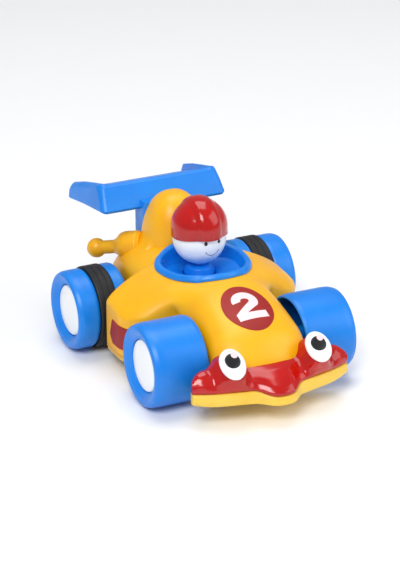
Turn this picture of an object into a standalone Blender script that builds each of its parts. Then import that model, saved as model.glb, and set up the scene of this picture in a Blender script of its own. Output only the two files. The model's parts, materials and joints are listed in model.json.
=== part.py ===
"""Pull-back racing car for small hands: moulded body, four drum wheels, lift-out driver, spring motor.

The car faces -Y and stands on z = 0, and x = 0 is its symmetry plane. The origin is the middle of the
footprint. Every length is in metres, written as millimetres times MM.
"""

import math

import bmesh
import bpy
import numpy as np

MM = 0.001

# Running gear
WHEEL_RADIUS = 24.0 * MM
FRONT_AXLE_Y = -47.3 * MM
REAR_AXLE_Y = 40.0 * MM
AXLE_RADIUS = 1.5 * MM
FRONT_AXLE_HALF = 56.2 * MM
REAR_AXLE_HALF = 64.0 * MM
BORE_GAP = 0.3 * MM
ROUND_STEPS = 24

# Body
RIM_Z = 11.1 * MM
PLATE_TOP = 10.8 * MM
PLATE_BOTTOM = 8.6 * MM
WALL = 2.0 * MM
SKIN_GAP = 0.35 * MM

# Cockpit and driver
DRIVER_Y = 5.9 * MM
COCKPIT_Y = 3.5 * MM
COCKPIT_HALF_WIDTH = 28.0 * MM
COCKPIT_FRONT = 33.0 * MM
COCKPIT_REAR = 21.0 * MM
SOCKET_RADIUS = 9.4 * MM
SOCKET_FLOOR = 41.0 * MM
HEAD_CENTRE_Z = 70.6 * MM
HEAD_RADIUS = 15.4 * MM
HELMET_CENTRE_Z = 79.0 * MM
HELMET_RADIUS = 16.3 * MM

# Headrest hump
HUMP_CENTRE_Y = 40.0 * MM
HUMP_BASE_Z = 50.0 * MM
HUMP_SIZE = (18.8 * MM, 18.8 * MM, 37.0 * MM)

# Bumper and eyes
BUMPER_HALF = 47.6 * MM
BUMPER_REAR = -73.8 * MM
BUMPER_TIP_Y = -85.2 * MM
EYE_X = 26.2 * MM
EYE_Y = -90.6 * MM
EYE_Z = 37.0 * MM
EYE_LEAN = math.radians(50.0)
EYE_RADII = (7.4 * MM, 9.3 * MM)
EYE_SINK = 1.4 * MM
PUPIL_RADII = (4.5 * MM, 4.5 * MM)

# Wing pylon and exhausts
PYLON_HALF = 15.5 * MM
PYLON_FRONT = 46.5 * MM
PYLON_REAR = 63.5 * MM
PYLON_FOOT_Z = 44.0 * MM
PYLON_TOP_Z = 79.0 * MM
EXHAUST_START = (20.5 * MM, 48.2 * MM, 53.6 * MM)
EXHAUST_TIP = (38.2 * MM, 66.2 * MM, 48.2 * MM)
EXHAUST_NECK = 4.0 * MM
EXHAUST_BALL = 5.8 * MM

# Number disc and side stickers
DISC_CENTRE_Y = -55.5 * MM
DISC_RADII = (14.2 * MM, 17.0 * MM)
DISC_LIFT = 0.35 * MM
DISC_THICKNESS = 0.4 * MM

# Screws: under the floor pan, and through the motor's tabs
SCREW_POSTS = ((-44.0 * MM, 2.0 * MM), (44.0 * MM, 2.0 * MM), (0.0, -66.0 * MM), (0.0, 62.0 * MM))
MOTOR_TAB_X = 11.0 * MM
MOTOR_TAB_Y = 24.0 * MM
MOTOR_TAB_Z = 17.0 * MM

# Spring motor
MODULE = 0.8 * MM
PINION_TEETH = 10
IDLER_TEETH = 20
DRUM_TEETH = 24
MESH_PLAY = 0.15 * MM
IDLER_ANGLE = math.radians(150.0)
DRUM_ANGLE = math.radians(199.0)

YELLOW = (0.97, 0.56, 0.02)
PALE_YELLOW = (0.93, 0.67, 0.12)
BLUE = (0.02, 0.29, 0.91)
RED = (0.60, 0.01, 0.01)
WHITE = (0.88, 0.88, 0.86)
BLACK = (0.012, 0.012, 0.014)
STEEL = (0.62, 0.62, 0.64)
SPRING_STEEL = (0.30, 0.32, 0.36)
ACETAL = (0.80, 0.79, 0.74)

# Body outline by station: each row is (y, value), in millimetres
HALF_WIDTH = (
    (-86.0, 12.0), (-84.0, 19.0), (-80.0, 24.0), (-74.0, 27.0), (-66.0, 28.3), (-24.0, 28.6),
    (-22.2, 35.0), (-18.0, 46.5), (-12.0, 53.0), (-4.0, 56.0), (14.0, 56.0), (15.5, 34.0),
    (40.0, 33.5), (58.0, 31.5), (66.0, 28.0), (70.0, 24.0),
)
SIDE_TOP = (
    (-86.0, 16.0), (-82.0, 20.0), (-74.0, 27.0), (-62.0, 32.0), (-40.0, 36.0), (-24.0, 37.0),
    (-12.0, 35.0), (0.0, 36.5), (14.0, 38.0), (15.5, 42.0), (40.0, 42.0), (60.0, 36.0), (70.0, 28.0),
)
CROWN = (
    (-86.0, 24.0), (-85.0, 29.0), (-82.5, 34.0), (-79.0, 38.5), (-74.0, 43.2), (-68.0, 46.9),
    (-57.0, 51.2), (-45.0, 54.8), (-35.0, 57.0), (-22.0, 58.8), (0.0, 59.6), (14.0, 60.0),
    (40.0, 60.0), (54.0, 55.0), (64.0, 46.0), (70.0, 36.0),
)
SHOULDER_RISE = ((-86.0, 0.6), (-26.0, 0.55), (-18.0, 0.25), (14.0, 0.22), (15.5, 0.5), (70.0, 0.5))
CROWN_FLAT = (
    (-86.0, 0.7), (-60.0, 0.66), (-26.0, 0.72), (-12.0, 0.56), (14.0, 0.54), (15.5, 0.72), (70.0, 0.7),
)
STATIONS = (
    -86.0, -85.0, -84.0, -82.0, -79.5, -76.5, -73.0, -68.0, -62.0, -54.0, -46.0, -38.0, -31.0, -26.0,
    -24.0, -22.2, -20.0, -18.0, -15.0, -12.0, -8.0, -4.0, 4.0, 13.5, 14.0, 15.5, 16.0, 28.0, 40.0,
    50.0, 58.0, 63.0, 67.0, 70.0,
)


def clear_scene():
    """Remove whatever the file opened with."""
    for thing in list(bpy.data.objects):
        bpy.data.objects.remove(thing, do_unlink=True)


def plastic(name, colour, roughness, metallic=0.0):
    """A Principled material."""
    made = bpy.data.materials.new(name)
    made.use_nodes = True
    shader = made.node_tree.nodes["Principled BSDF"]
    shader.inputs["Base Color"].default_value = (*colour, 1.0)
    shader.inputs["Roughness"].default_value = roughness
    shader.inputs["Metallic"].default_value = metallic
    made.diffuse_color = (*colour, 1.0)
    return made


def through(knots, at):
    """Monotone cubic through (position, value) knots, both in millimetres."""
    x = np.array([knot[0] for knot in knots])
    v = np.array([knot[1] for knot in knots])
    step = np.diff(x)
    slope = np.diff(v) / step
    tangent = np.zeros(len(x))
    same = slope[:-1] * slope[1:] > 0
    with np.errstate(divide="ignore", invalid="ignore"):
        mean = 2.0 / (1.0 / slope[:-1] + 1.0 / slope[1:])
    tangent[1:-1] = np.where(same, mean, 0.0)
    tangent[0] = slope[0]
    tangent[-1] = slope[-1]
    at = np.clip(np.asarray(at, float), x[0], x[-1])
    i = np.clip(np.searchsorted(x, at, side="right") - 1, 0, len(x) - 2)
    s = (at - x[i]) / step[i]
    rise = v[i] * (1 + 2 * s) * (1 - s) ** 2 + v[i + 1] * s * s * (3 - 2 * s)
    return rise + step[i] * (tangent[i] * s * (1 - s) ** 2 - tangent[i + 1] * s * s * (1 - s))


def ring_solid(name, rings, material, ends="loop", first_pole=None, last_pole=None):
    """Closed solid skinned over rings of points, shape (rings, points, 3).

    ends="loop" joins the last ring to the first, and ends="caps" fills each end with a face, or with a
    fan to a pole point where one is given.
    """
    rings = np.asarray(rings, float)
    count, around = rings.shape[:2]
    mesh = bmesh.new()
    points = [[mesh.verts.new(point) for point in ring] for ring in rings]
    last = count if ends == "loop" else count - 1
    for i in range(last):
        low = points[i]
        high = points[(i + 1) % count]
        for j in range(around):
            k = (j + 1) % around
            mesh.faces.new((low[j], low[k], high[k], high[j]))
    if ends == "caps":
        for ring, pole in ((points[0], first_pole), (points[-1], last_pole)):
            if pole is None:
                mesh.faces.new(ring)
                continue
            tip = mesh.verts.new(pole)
            for j in range(around):
                mesh.faces.new((ring[j], ring[(j + 1) % around], tip))
    bmesh.ops.recalc_face_normals(mesh, faces=mesh.faces)
    return finish_mesh(name, mesh, material)


def finish_mesh(name, mesh, material):
    """Put a bmesh into a new named object, smooth with its edges kept sharp."""
    data = bpy.data.meshes.new(name)
    mesh.to_mesh(data)
    mesh.free()
    data.shade_smooth()
    data.set_sharp_from_angle(angle=math.radians(32.0))
    if material is not None:
        data.materials.append(material)
    made = bpy.data.objects.new(name, data)
    bpy.context.scene.collection.objects.link(made)
    return made


def turned(name, profile, centre, axis, material, steps=ROUND_STEPS, start=0.0):
    """Turn a profile of (radius, along) about an axis through centre. A radius of 0 is a pole.

    axis is "x", "y" or "z", and start is the angle of the first point of each ring.
    """
    angle = start + np.linspace(0.0, 2 * math.pi, steps, endpoint=False)
    across = np.cos(angle)
    up = np.sin(angle)
    rings = []
    poles = {}
    for index, (radius, along) in enumerate(profile):
        flat = np.full(steps, along)
        if axis == "x":
            ring = np.stack([flat, radius * across, radius * up], axis=-1)
        elif axis == "y":
            ring = np.stack([radius * across, flat, radius * up], axis=-1)
        else:
            ring = np.stack([radius * across, radius * up, flat], axis=-1)
        ring = ring + np.array(centre)
        if radius == 0.0:
            poles[index] = tuple(ring[0])
        else:
            rings.append(ring)
    if not poles:
        return ring_solid(name, rings, material)
    first = poles.get(0)
    last = poles.get(len(profile) - 1)
    return ring_solid(name, rings, material, ends="caps", first_pole=first, last_pole=last)


def mirrored(profile):
    """The same profile on the -X side of the car."""
    return [(radius, -along) for radius, along in profile]


def box(name, low, high, material, bevel=0.0):
    """Axis-aligned box from its two corners, with rounded edges if bevel is over 0."""
    mesh = bmesh.new()
    bmesh.ops.create_cube(mesh, size=1.0)
    size = np.array(high) - np.array(low)
    middle = (np.array(high) + np.array(low)) / 2.0
    for vert in mesh.verts:
        vert.co = tuple(np.array(vert.co) * size + middle)
    if bevel > 0.0:
        bmesh.ops.bevel(mesh, geom=mesh.edges[:], offset=bevel, segments=2, profile=0.5, affect="EDGES")
    return finish_mesh(name, mesh, material)


def combine(target, other, operation):
    """Exact boolean with a hidden helper."""
    other.hide_render = True
    other.display_type = "WIRE"
    step = target.modifiers.new(other.name, "BOOLEAN")
    step.object = other
    step.operation = operation
    step.solver = "EXACT"


def rod_tool(name, radius, low, high, centre, axis, steps=16):
    """Plain cylinder from low to high along an axis, used to cut or to add."""
    profile = ((0.0, low), (radius, low), (radius, high), (0.0, high))
    return turned(name, profile, centre, axis, None, steps, start=0.137)


# The body skin


def body_section(y, outset=0.0, wall_points=2, arc_points=7):
    """Half section of the body at a station, from the rim up to the crown: x and z in metres.

    The side stands at the half width up to the side top. From there one cubic Bezier leads to the crown,
    and its handles give the shoulder. outset moves the whole section out (or in, where negative).
    """
    width = float(through(HALF_WIDTH, y)) * MM + outset
    side = float(through(SIDE_TOP, y)) * MM
    crown = float(through(CROWN, y)) * MM + outset
    rise = float(through(SHOULDER_RISE, y))
    flat = float(through(CROWN_FLAT, y))
    corners = ((width, side), (width, side + rise * (crown - side)), (flat * width, crown), (0.0, crown))
    t = np.linspace(0.0, 1.0, arc_points + 1)
    weights = ((1 - t) ** 3, 3 * t * (1 - t) ** 2, 3 * t * t * (1 - t), t ** 3)
    x = sum(w * c[0] for w, c in zip(weights, corners))
    z = sum(w * c[1] for w, c in zip(weights, corners))
    foot = np.linspace(RIM_Z, side, wall_points, endpoint=False)
    return np.append(np.full(wall_points, width), x), np.append(foot, z)


def body_loft(name, outset=0.0, foot=RIM_Z, material=None):
    """Closed loft of the body through its stations, moved out by outset on every side (in, if negative).

    Moving a station's width also looks outset ahead and behind, so a step in the outline moves too.
    """
    grow = outset / MM
    first = STATIONS[0] - grow
    last = STATIONS[-1] + grow
    between = [y for y in STATIONS if first + 0.4 < y < last - 0.4]
    if outset != 0.0:
        between = sorted(between + [14.0 + grow, 14.3 + grow])
    rings = []
    for y in [first] + between + [last]:
        x, z = body_section(y, outset)
        near = [float(through(HALF_WIDTH, y + shift)) for shift in (-abs(grow), 0.0, abs(grow))]
        width = (max(near) if outset > 0.0 else min(near)) * MM + outset
        x = x * width / x[0]
        z = np.where(z <= RIM_Z + 1e-9, foot, z)
        left = np.stack([-x[:-1], np.full(len(x) - 1, y * MM), z[:-1]], axis=-1)
        right = np.stack([x, np.full(len(x), y * MM), z], axis=-1)[::-1]
        rings.append(np.concatenate([left, right]))
    return ring_solid(name, rings, material, ends="caps")


def roof_height(x, y):
    """Height of the outer body skin above a point of the plan, in metres."""
    section_x, section_z = body_section(y / MM, arc_points=40)
    return float(np.interp(abs(x), section_x[2:][::-1], section_z[2:][::-1]))


def hump_dome(name, grow, base_z, steps=26, rows=7):
    """Superelliptic headrest dome, grown by grow on every side, closed flat at base_z.

    |x/a|^n + |y/b|^n + (z/c)^n = 1 with n = 2.4, sampled by longitude and by a rising angle.
    """
    power = 2.0 / 2.4
    a, b, c = (size + grow for size in HUMP_SIZE)
    angle = np.linspace(0.0, 2 * math.pi, steps, endpoint=False)
    cosine = np.sign(np.cos(angle)) * np.abs(np.cos(angle)) ** power
    sine = np.sign(np.sin(angle)) * np.abs(np.sin(angle)) ** power
    rings = [np.stack([a * cosine, b * sine + HUMP_CENTRE_Y, np.full(steps, base_z)], axis=-1)]
    for lift in np.linspace(0.0, math.pi / 2, rows, endpoint=False):
        spread = math.cos(lift) ** power
        height = HUMP_BASE_Z + c * math.sin(lift) ** power
        if height <= base_z + 0.5 * MM:
            continue
        ring = [a * spread * cosine, b * spread * sine + HUMP_CENTRE_Y, np.full(steps, height)]
        rings.append(np.stack(ring, axis=-1))
    top = (0.0, HUMP_CENTRE_Y, HUMP_BASE_Z + c)
    return ring_solid(name, rings, None, ends="caps", last_pole=top)


def cockpit_egg(inset, steps=32):
    """Plan outline of the cockpit: half ellipses of two lengths that meet at its widest line."""
    angle = np.linspace(0.0, 2 * math.pi, steps, endpoint=False)
    x = (COCKPIT_HALF_WIDTH - inset) * np.cos(angle)
    length = np.where(np.sin(angle) < 0, COCKPIT_FRONT - inset, COCKPIT_REAR - inset)
    return x, COCKPIT_Y + length * np.sin(angle)


def make_body_shell(material):
    """Hollow body moulding with its hump, cockpit opening, screw posts and axle slots."""
    shell = body_loft("body_shell", 0.0, RIM_Z, material)
    combine(shell, hump_dome("hump_outside", 0.0, HUMP_BASE_Z + 2 * MM), "UNION")
    combine(shell, body_loft("shell_hollow", -WALL, RIM_Z - 6 * MM), "DIFFERENCE")
    combine(shell, hump_dome("hump_hollow", -WALL, HUMP_BASE_Z - 4 * MM), "DIFFERENCE")
    x, y = cockpit_egg(3.0 * MM)
    rings = [np.stack([x, y, np.full(len(x), z)], axis=-1) for z in (40 * MM, 66 * MM)]
    combine(shell, ring_solid("cockpit_hole", rings, None, ends="caps"), "DIFFERENCE")
    for number, (post_x, post_y) in enumerate(SCREW_POSTS, 1):
        around = [(post_x + 3.4 * MM * math.cos(a), post_y + 3.4 * MM * math.sin(a)) for a in range(7)]
        top = min(roof_height(x, y) for x, y in around) - 0.7 * MM
        centre = (post_x, post_y, 0.0)
        post = rod_tool(f"post_{number}", 3.2 * MM, RIM_Z, top, centre, "z")
        combine(shell, post, "UNION")
        hole = rod_tool(f"post_hole_{number}", 1.6 * MM, RIM_Z - 1 * MM, RIM_Z + 14 * MM, centre, "z", 12)
        combine(shell, hole, "DIFFERENCE")
    for label, axle_y in (("front", FRONT_AXLE_Y), ("rear", REAR_AXLE_Y)):
        low = (-40 * MM, axle_y - 1.9 * MM, RIM_Z - 2 * MM)
        high = (40 * MM, axle_y + 1.9 * MM, WHEEL_RADIUS + 1.9 * MM)
        combine(shell, box(f"{label}_axle_slot", low, high, None), "DIFFERENCE")
    return shell


# The floor pan, with the pale lip under the bumper


def lip_front(x):
    """Front edge of the lip and bumper in plan: swept back, with a rounded centre bulge."""
    reach = abs(x) / MM
    sweep = -98.2 + 6.2 * (reach / 32.0) ** 1.3
    bulge = 6.1 * np.exp(-((reach / 10.5) ** 4))
    return (sweep - bulge) * MM


def border_height(x):
    """Height of the line between lip and bumper: lower at the centre bulge."""
    reach = abs(x) / MM
    return (20.3 - 2.6 * np.exp(-((reach / 11.5) ** 4))) * MM


def bumper_plan(x):
    """Front and rear edge of the bumper at x. Both close on the tip, and the rear starts sooner."""
    reach = abs(x) / BUMPER_HALF
    edges = []
    for straight, begin in ((float(lip_front(x)), 0.79), (BUMPER_REAR, 0.70)):
        edge = np.clip((reach - begin) / (1.0 - begin), 0.0, 1.0)
        close = 0.94 * (1.0 - math.sqrt(max(1.0 - edge * edge, 0.0)))
        edges.append(straight + (BUMPER_TIP_Y - straight) * close)
    return edges[0], edges[1], close


def bumper_stations(count=21):
    """Stations across the bumper, closer together near the ends."""
    u = np.linspace(-1.0, 1.0, count)
    return BUMPER_HALF * np.sin(u * math.pi / 2 * 0.985) / math.sin(math.pi / 2 * 0.985)


def make_chassis(material):
    """Floor pan that follows the body's outline, with the lip, axle saddles and motor posts."""
    rows = [station for station in STATIONS if station >= -84.0]
    right = [(float(through(HALF_WIDTH, y)) * MM - 0.6 * MM, y * MM) for y in rows]
    outline = right + [(-x, y) for x, y in reversed(right)]
    rings = [[(x, y, z) for x, y in outline] for z in (PLATE_BOTTOM, PLATE_TOP)]
    pan = ring_solid("chassis_plate", rings, material, ends="caps")
    sections = []
    for x in bumper_stations():
        front, rear, close = bumper_plan(x)
        top = float(border_height(x)) - 0.3 * MM
        low = 11.3 * MM + 1.0 * MM * (abs(x) / BUMPER_HALF) ** 2
        sections.append([
            (x, front + 1.6 * MM, top), (x, front + 0.5 * MM, top - 2.5 * MM), (x, front, low + 3.0 * MM),
            (x, front + 0.6 * MM, low + 0.9 * MM), (x, front + 0.12 * (rear - front), low),
            (x, front + 0.35 * (rear - front), low - 1.2 * MM), (x, rear, low - 1.2 * MM), (x, rear, top),
        ])
    lip = ring_solid("lip", sections, None, ends="caps")
    combine(lip, body_loft("lip_clearance", SKIN_GAP, RIM_Z - 0.3 * MM), "DIFFERENCE")
    combine(pan, lip, "UNION")
    bridge_low = (-16 * MM, -91 * MM, PLATE_BOTTOM + 0.2 * MM)
    bridge_high = (16 * MM, -72 * MM, PLATE_TOP - 0.05 * MM)
    combine(pan, box("lip_bridge", bridge_low, bridge_high, None), "UNION")
    for label, axle_y, reach in (("front", FRONT_AXLE_Y, 22.0 * MM), ("rear", REAR_AXLE_Y, 22.0 * MM)):
        for side, sign in (("left", 1.0), ("right", -1.0)):
            centre_x = sign * reach
            low = (centre_x - 2 * MM, axle_y - 4 * MM, PLATE_TOP - 1 * MM)
            high = (centre_x + 2 * MM, axle_y + 4 * MM, WHEEL_RADIUS + 4 * MM)
            combine(pan, box(f"{label}_saddle_{side}", low, high, None), "UNION")
        centre = (0.0, axle_y, WHEEL_RADIUS)
        hole = rod_tool(f"{label}_saddle_hole", AXLE_RADIUS + BORE_GAP, -30 * MM, 30 * MM, centre, "x", 20)
        combine(pan, hole, "DIFFERENCE")
    for number, (post_x, post_y) in enumerate(SCREW_POSTS, 1):
        centre = (post_x, post_y, 0.0)
        profile = (
            (0.0, PLATE_BOTTOM - 2 * MM), (3.3 * MM, PLATE_BOTTOM - 2 * MM), (3.3 * MM, 9.7 * MM),
            (1.8 * MM, 9.7 * MM), (1.8 * MM, PLATE_TOP + 2 * MM), (0.0, PLATE_TOP + 2 * MM),
        )
        hole = turned(f"pan_hole_{number}", profile, centre, "z", None, 14, start=0.137)
        combine(pan, hole, "DIFFERENCE")
    for side, sign in (("left", 1.0), ("right", -1.0)):
        centre = (sign * MOTOR_TAB_X, MOTOR_TAB_Y, 0.0)
        low, high = PLATE_TOP - 1 * MM, MOTOR_TAB_Z - 0.3 * MM
        post = rod_tool(f"motor_post_{side}", 2.8 * MM, low, high, centre, "z")
        combine(pan, post, "UNION")
        hole = rod_tool(f"motor_post_hole_{side}", 1.3 * MM, 12 * MM, 24 * MM, centre, "z", 12)
        combine(pan, hole, "DIFFERENCE")
    return pan


def make_screw(name, centre, head_z, shank_length, head_radius, shank_radius, up, material):
    """Pan-head screw standing on its head at head_z; up = 1.0 when the shank points up."""
    profile = (
        (0.0, 0.0), (0.75 * head_radius, 0.0), (head_radius, 0.5 * MM), (head_radius, 1.0 * MM),
        (shank_radius, 1.1 * MM), (shank_radius, shank_length), (0.0, shank_length + 0.8 * MM),
    )
    placed = [(radius, head_z + up * along) for radius, along in profile]
    return turned(name, placed, centre, "z", material, 16)


def make_bumper(material):
    """Red bumper cover: a swept loft that hugs the snout, with a sloping lobe and a seat for each eye."""
    sections = []
    for x in bumper_stations(29):
        front, rear, close = bumper_plan(x)
        foot = float(border_height(x))
        reach = abs(x) / MM
        lobe = math.exp(-((abs(reach - 26.4) / 8.4) ** 4))
        boss = math.exp(-((abs(reach - 41.0) / 5.5) ** 2.6))
        ridge = (29.5 + 12.6 * lobe + 2.0 * boss) * MM
        ridge = ridge - (ridge - foot - 2 * MM) * close * 0.75
        swell = lobe * MM
        depth = rear - front
        crest_y = front + depth * (0.62 - 0.12 * lobe)
        sections.append([
            (x, front + 1.2 * MM, foot),
            (x, front + 1.0 * MM - 1.6 * swell, foot + 0.18 * (ridge - foot)),
            (x, front + 0.14 * depth - 5.2 * swell, foot + 0.42 * (ridge - foot) + 2.6 * swell),
            (x, front + 0.30 * depth - 2.2 * swell, foot + 0.68 * (ridge - foot) + 2.6 * swell),
            (x, front + (0.45 - 0.05 * lobe) * depth, foot + 0.88 * (ridge - foot) + 1.4 * swell),
            (x, crest_y, ridge),
            (x, front + 0.80 * depth, foot + 0.93 * (ridge - foot)),
            (x, front + 0.93 * depth, foot + 0.75 * (ridge - foot)),
            (x, rear, foot + 0.45 * (ridge - foot)),
            (x, rear, foot),
        ])
    cover = ring_solid("bumper_cover", sections, material, ends="caps")
    combine(cover, body_loft("snout_clearance", SKIN_GAP, RIM_Z - 3 * MM), "DIFFERENCE")
    for word, side in (("left", 1.0), ("right", -1.0)):
        radii = (EYE_RADII[0] + SKIN_GAP, EYE_RADII[1] + SKIN_GAP)
        seat = make_eye(f"eye_seat_{word}", side, None, radii, -EYE_SINK - SKIN_GAP, 12 * MM, (0.0, 0.0))
        combine(cover, seat, "DIFFERENCE")
    return cover


def make_eye(name, side, material, radii, depth, thickness, shift):
    """Domed oval eye disc, leaning back on the bumper's lobe and facing forward and up."""
    centre = np.array([side * EYE_X, EYE_Y, EYE_Z])
    outward = np.array([0.0, -math.cos(EYE_LEAN), math.sin(EYE_LEAN)])
    rise = np.array([0.0, math.sin(EYE_LEAN), math.cos(EYE_LEAN)])
    across = np.array([1.0, 0.0, 0.0])
    centre = centre + outward * depth + rise * shift[1] + across * shift[0]
    angle = np.linspace(0.0, 2 * math.pi, 22, endpoint=False)
    rings = []
    for scale, along in ((0.96, 0.0), (1.0, 0.35), (0.97, 0.75), (0.75, 1.0)):
        oval = np.outer(radii[0] * scale * np.cos(angle), across)
        oval = oval + np.outer(radii[1] * scale * np.sin(angle), rise)
        rings.append(centre + oval + outward * (along * thickness))
    return ring_solid(name, rings, material, ends="caps")


# Cockpit, driver


def make_tub(material):
    """Blue cockpit bowl: rolled rim on the body, sloping bowl and the driver's socket."""
    steps = 32
    angle = np.linspace(0.0, 2 * math.pi, steps, endpoint=False)
    circle = np.stack([np.cos(angle), np.sin(angle)])

    def egg_ring(inset, lift=None, height=None):
        x, y = cockpit_egg(inset, steps)
        if height is None:
            z = np.array([roof_height(px, py) for px, py in zip(x, y)]) + lift
        else:
            z = np.full(steps, height)
        return np.stack([x, y, z], axis=-1)

    def round_ring(radius, height, centre_y=DRIVER_Y):
        y = radius * circle[1] + centre_y
        return np.stack([radius * circle[0], y, np.full(steps, height)], axis=-1)

    inside = [
        egg_ring(0.0, lift=0.35 * MM), egg_ring(0.1 * MM, lift=1.5 * MM), egg_ring(1.1 * MM, lift=2.7 * MM),
        egg_ring(2.6 * MM, lift=2.7 * MM), egg_ring(4.0 * MM, lift=1.5 * MM),
        egg_ring(5.2 * MM, height=55.0 * MM), egg_ring(6.6 * MM, height=52.2 * MM),
        round_ring(12.6 * MM, 50.6 * MM), round_ring(11.2 * MM, 50.0 * MM), round_ring(SOCKET_RADIUS, 49.0 * MM),
        round_ring(SOCKET_RADIUS, SOCKET_FLOOR),
    ]
    outside = [
        round_ring(SOCKET_RADIUS + 1.6 * MM, SOCKET_FLOOR - 1.6 * MM),
        round_ring(SOCKET_RADIUS + 1.6 * MM, 48.2 * MM),
        egg_ring(7.6 * MM, height=50.4 * MM), egg_ring(4.6 * MM, height=54.0 * MM),
        egg_ring(3.4 * MM, lift=-2.0 * MM), egg_ring(3.4 * MM, lift=0.35 * MM),
    ]
    rings = np.concatenate([np.array(inside)[::-1], np.array(outside)[::-1]])
    tub = ring_solid("cockpit_tub", rings, material, ends="caps")
    combine(tub, hump_dome("hump_clearance", SKIN_GAP, HUMP_BASE_Z), "DIFFERENCE")
    return tub


def make_driver_body(material):
    """Peg body: sits in the socket and carries the neck pin."""
    profile = (
        (0.0, SOCKET_FLOOR + 0.3 * MM), (8.2 * MM, SOCKET_FLOOR + 0.3 * MM),
        (9.0 * MM, SOCKET_FLOOR + 1.2 * MM), (9.0 * MM, 50.0 * MM), (8.0 * MM, 53.2 * MM),
        (6.0 * MM, 54.6 * MM), (4.0 * MM, 54.8 * MM),
        (4.0 * MM, 62.0 * MM), (3.4 * MM, 62.8 * MM), (0.0, 62.8 * MM),
    )
    return turned("driver_body", profile, (0.0, DRIVER_Y, 0.0), "z", material, 24)


def make_driver_head(material):
    """Round head with a flat neck face and a bore for the neck pin."""
    flat_z = 55.6 * MM
    start = math.asin((flat_z - HEAD_CENTRE_Z) / HEAD_RADIUS)
    profile = [(4.3 * MM, flat_z)]
    for lift in np.linspace(start, math.pi / 2, 12):
        profile.append((HEAD_RADIUS * math.cos(lift), HEAD_CENTRE_Z + HEAD_RADIUS * math.sin(lift)))
    profile[1] = (math.sqrt(HEAD_RADIUS ** 2 - (flat_z - HEAD_CENTRE_Z) ** 2), flat_z)
    profile[-1] = (0.0, HEAD_CENTRE_Z + HEAD_RADIUS)
    pin_top = 63.2 * MM
    profile = [(0.0, pin_top), (4.3 * MM, pin_top)] + profile
    return turned("driver_head", profile, (0.0, DRIVER_Y, 0.0), "z", material, 24)


def helmet_edge(angle):
    """Lower edge of the helmet by angle about Z: level over the brow and low at the back."""
    front = -math.sin(angle)
    return (72.6 + 1.6 * max(front, 0.0) ** 2 - 4.4 * max(-front, 0.0) ** 1.5) * MM


def make_helmet(material):
    """Red helmet: a thick cap about its own centre, with a soft crest, over a round cavity for the head."""
    steps = 26
    angle = np.linspace(0.0, 2 * math.pi, steps, endpoint=False)
    low = np.array([helmet_edge(a) for a in angle])
    top = HELMET_CENTRE_Z + HELMET_RADIUS
    outer = []
    for climb in (0.0, 0.1, 0.24, 0.42, 0.62, 0.80, 0.92, 0.985):
        z = low + (top - low) * climb
        radius = np.sqrt(np.maximum(HELMET_RADIUS ** 2 - (z - HELMET_CENTRE_Z) ** 2, 0.0))
        radius = np.where(z < HELMET_CENTRE_Z, np.maximum(radius, HELMET_RADIUS - 0.1 * MM), radius)
        strip = np.exp(-((radius * np.cos(angle) / (3.4 * MM)) ** 4))
        radius = radius + 0.9 * MM * strip * math.sin(math.pi * min(climb, 0.85)) * (radius > 4 * MM)
        outer.append(np.stack([radius * np.cos(angle), radius * np.sin(angle) + DRIVER_Y, z], axis=-1))
    cavity = HEAD_RADIUS + 0.6 * MM
    inner_top = HEAD_CENTRE_Z + cavity
    inner = []
    for climb in (0.0, 0.35, 0.68, 0.9):
        z = low + (inner_top - low) * climb
        radius = np.sqrt(np.maximum(cavity ** 2 - (z - HEAD_CENTRE_Z) ** 2, 0.0))
        inner.append(np.stack([radius * np.cos(angle), radius * np.sin(angle) + DRIVER_Y, z], axis=-1))
    rings = np.concatenate([np.array(outer)[::-1], np.array(inner)])
    first = (0.0, DRIVER_Y, top)
    last = (0.0, DRIVER_Y, inner_top)
    return ring_solid("driver_helmet", rings, material, ends="caps", first_pole=first, last_pole=last)


# Wing and exhausts


def wing_section(s):
    """Section of the wing at share s of its half span: steep front face, top falling to the back."""
    share = abs(s)
    fence = np.clip((share - 0.84) / 0.05, 0.0, 1.0)
    fence = fence * fence * (3 - 2 * fence)
    tip = np.clip((share - 0.93) / 0.07, 0.0, 1.0)
    draw = (1.0 - math.sqrt(max(1.0 - tip * tip, 0.0))) * 3.0
    points = (
        (53.0 + draw, 75.0 + draw * 0.5), (51.9 + draw, 76.4), (55.8 + draw, 82.0),
        (60.2 + draw, 87.4 - draw * 0.3), (62.6 + draw, 88.3 + 0.6 * fence - draw * 0.5),
        (76.0, 83.2 + 2.2 * fence - draw * 0.7),
        (90.0, 77.6 + 3.8 * fence - draw * 0.8), (102.4 - draw, 72.6 + 4.4 * fence - draw * 0.9),
        (104.3 - draw, 71.2 + 3.6 * fence - draw * 0.8), (104.1 - draw, 68.0 + draw * 0.4),
        (102.4 - draw, 67.2 + draw * 0.5), (80.0, 70.6 + draw * 0.5),
    )
    half = []
    for y, z in points:
        x = s * (39.8 - 0.16 * (z - 75.0))
        half.append((x * MM, y * MM, z * MM))
    return half


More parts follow.
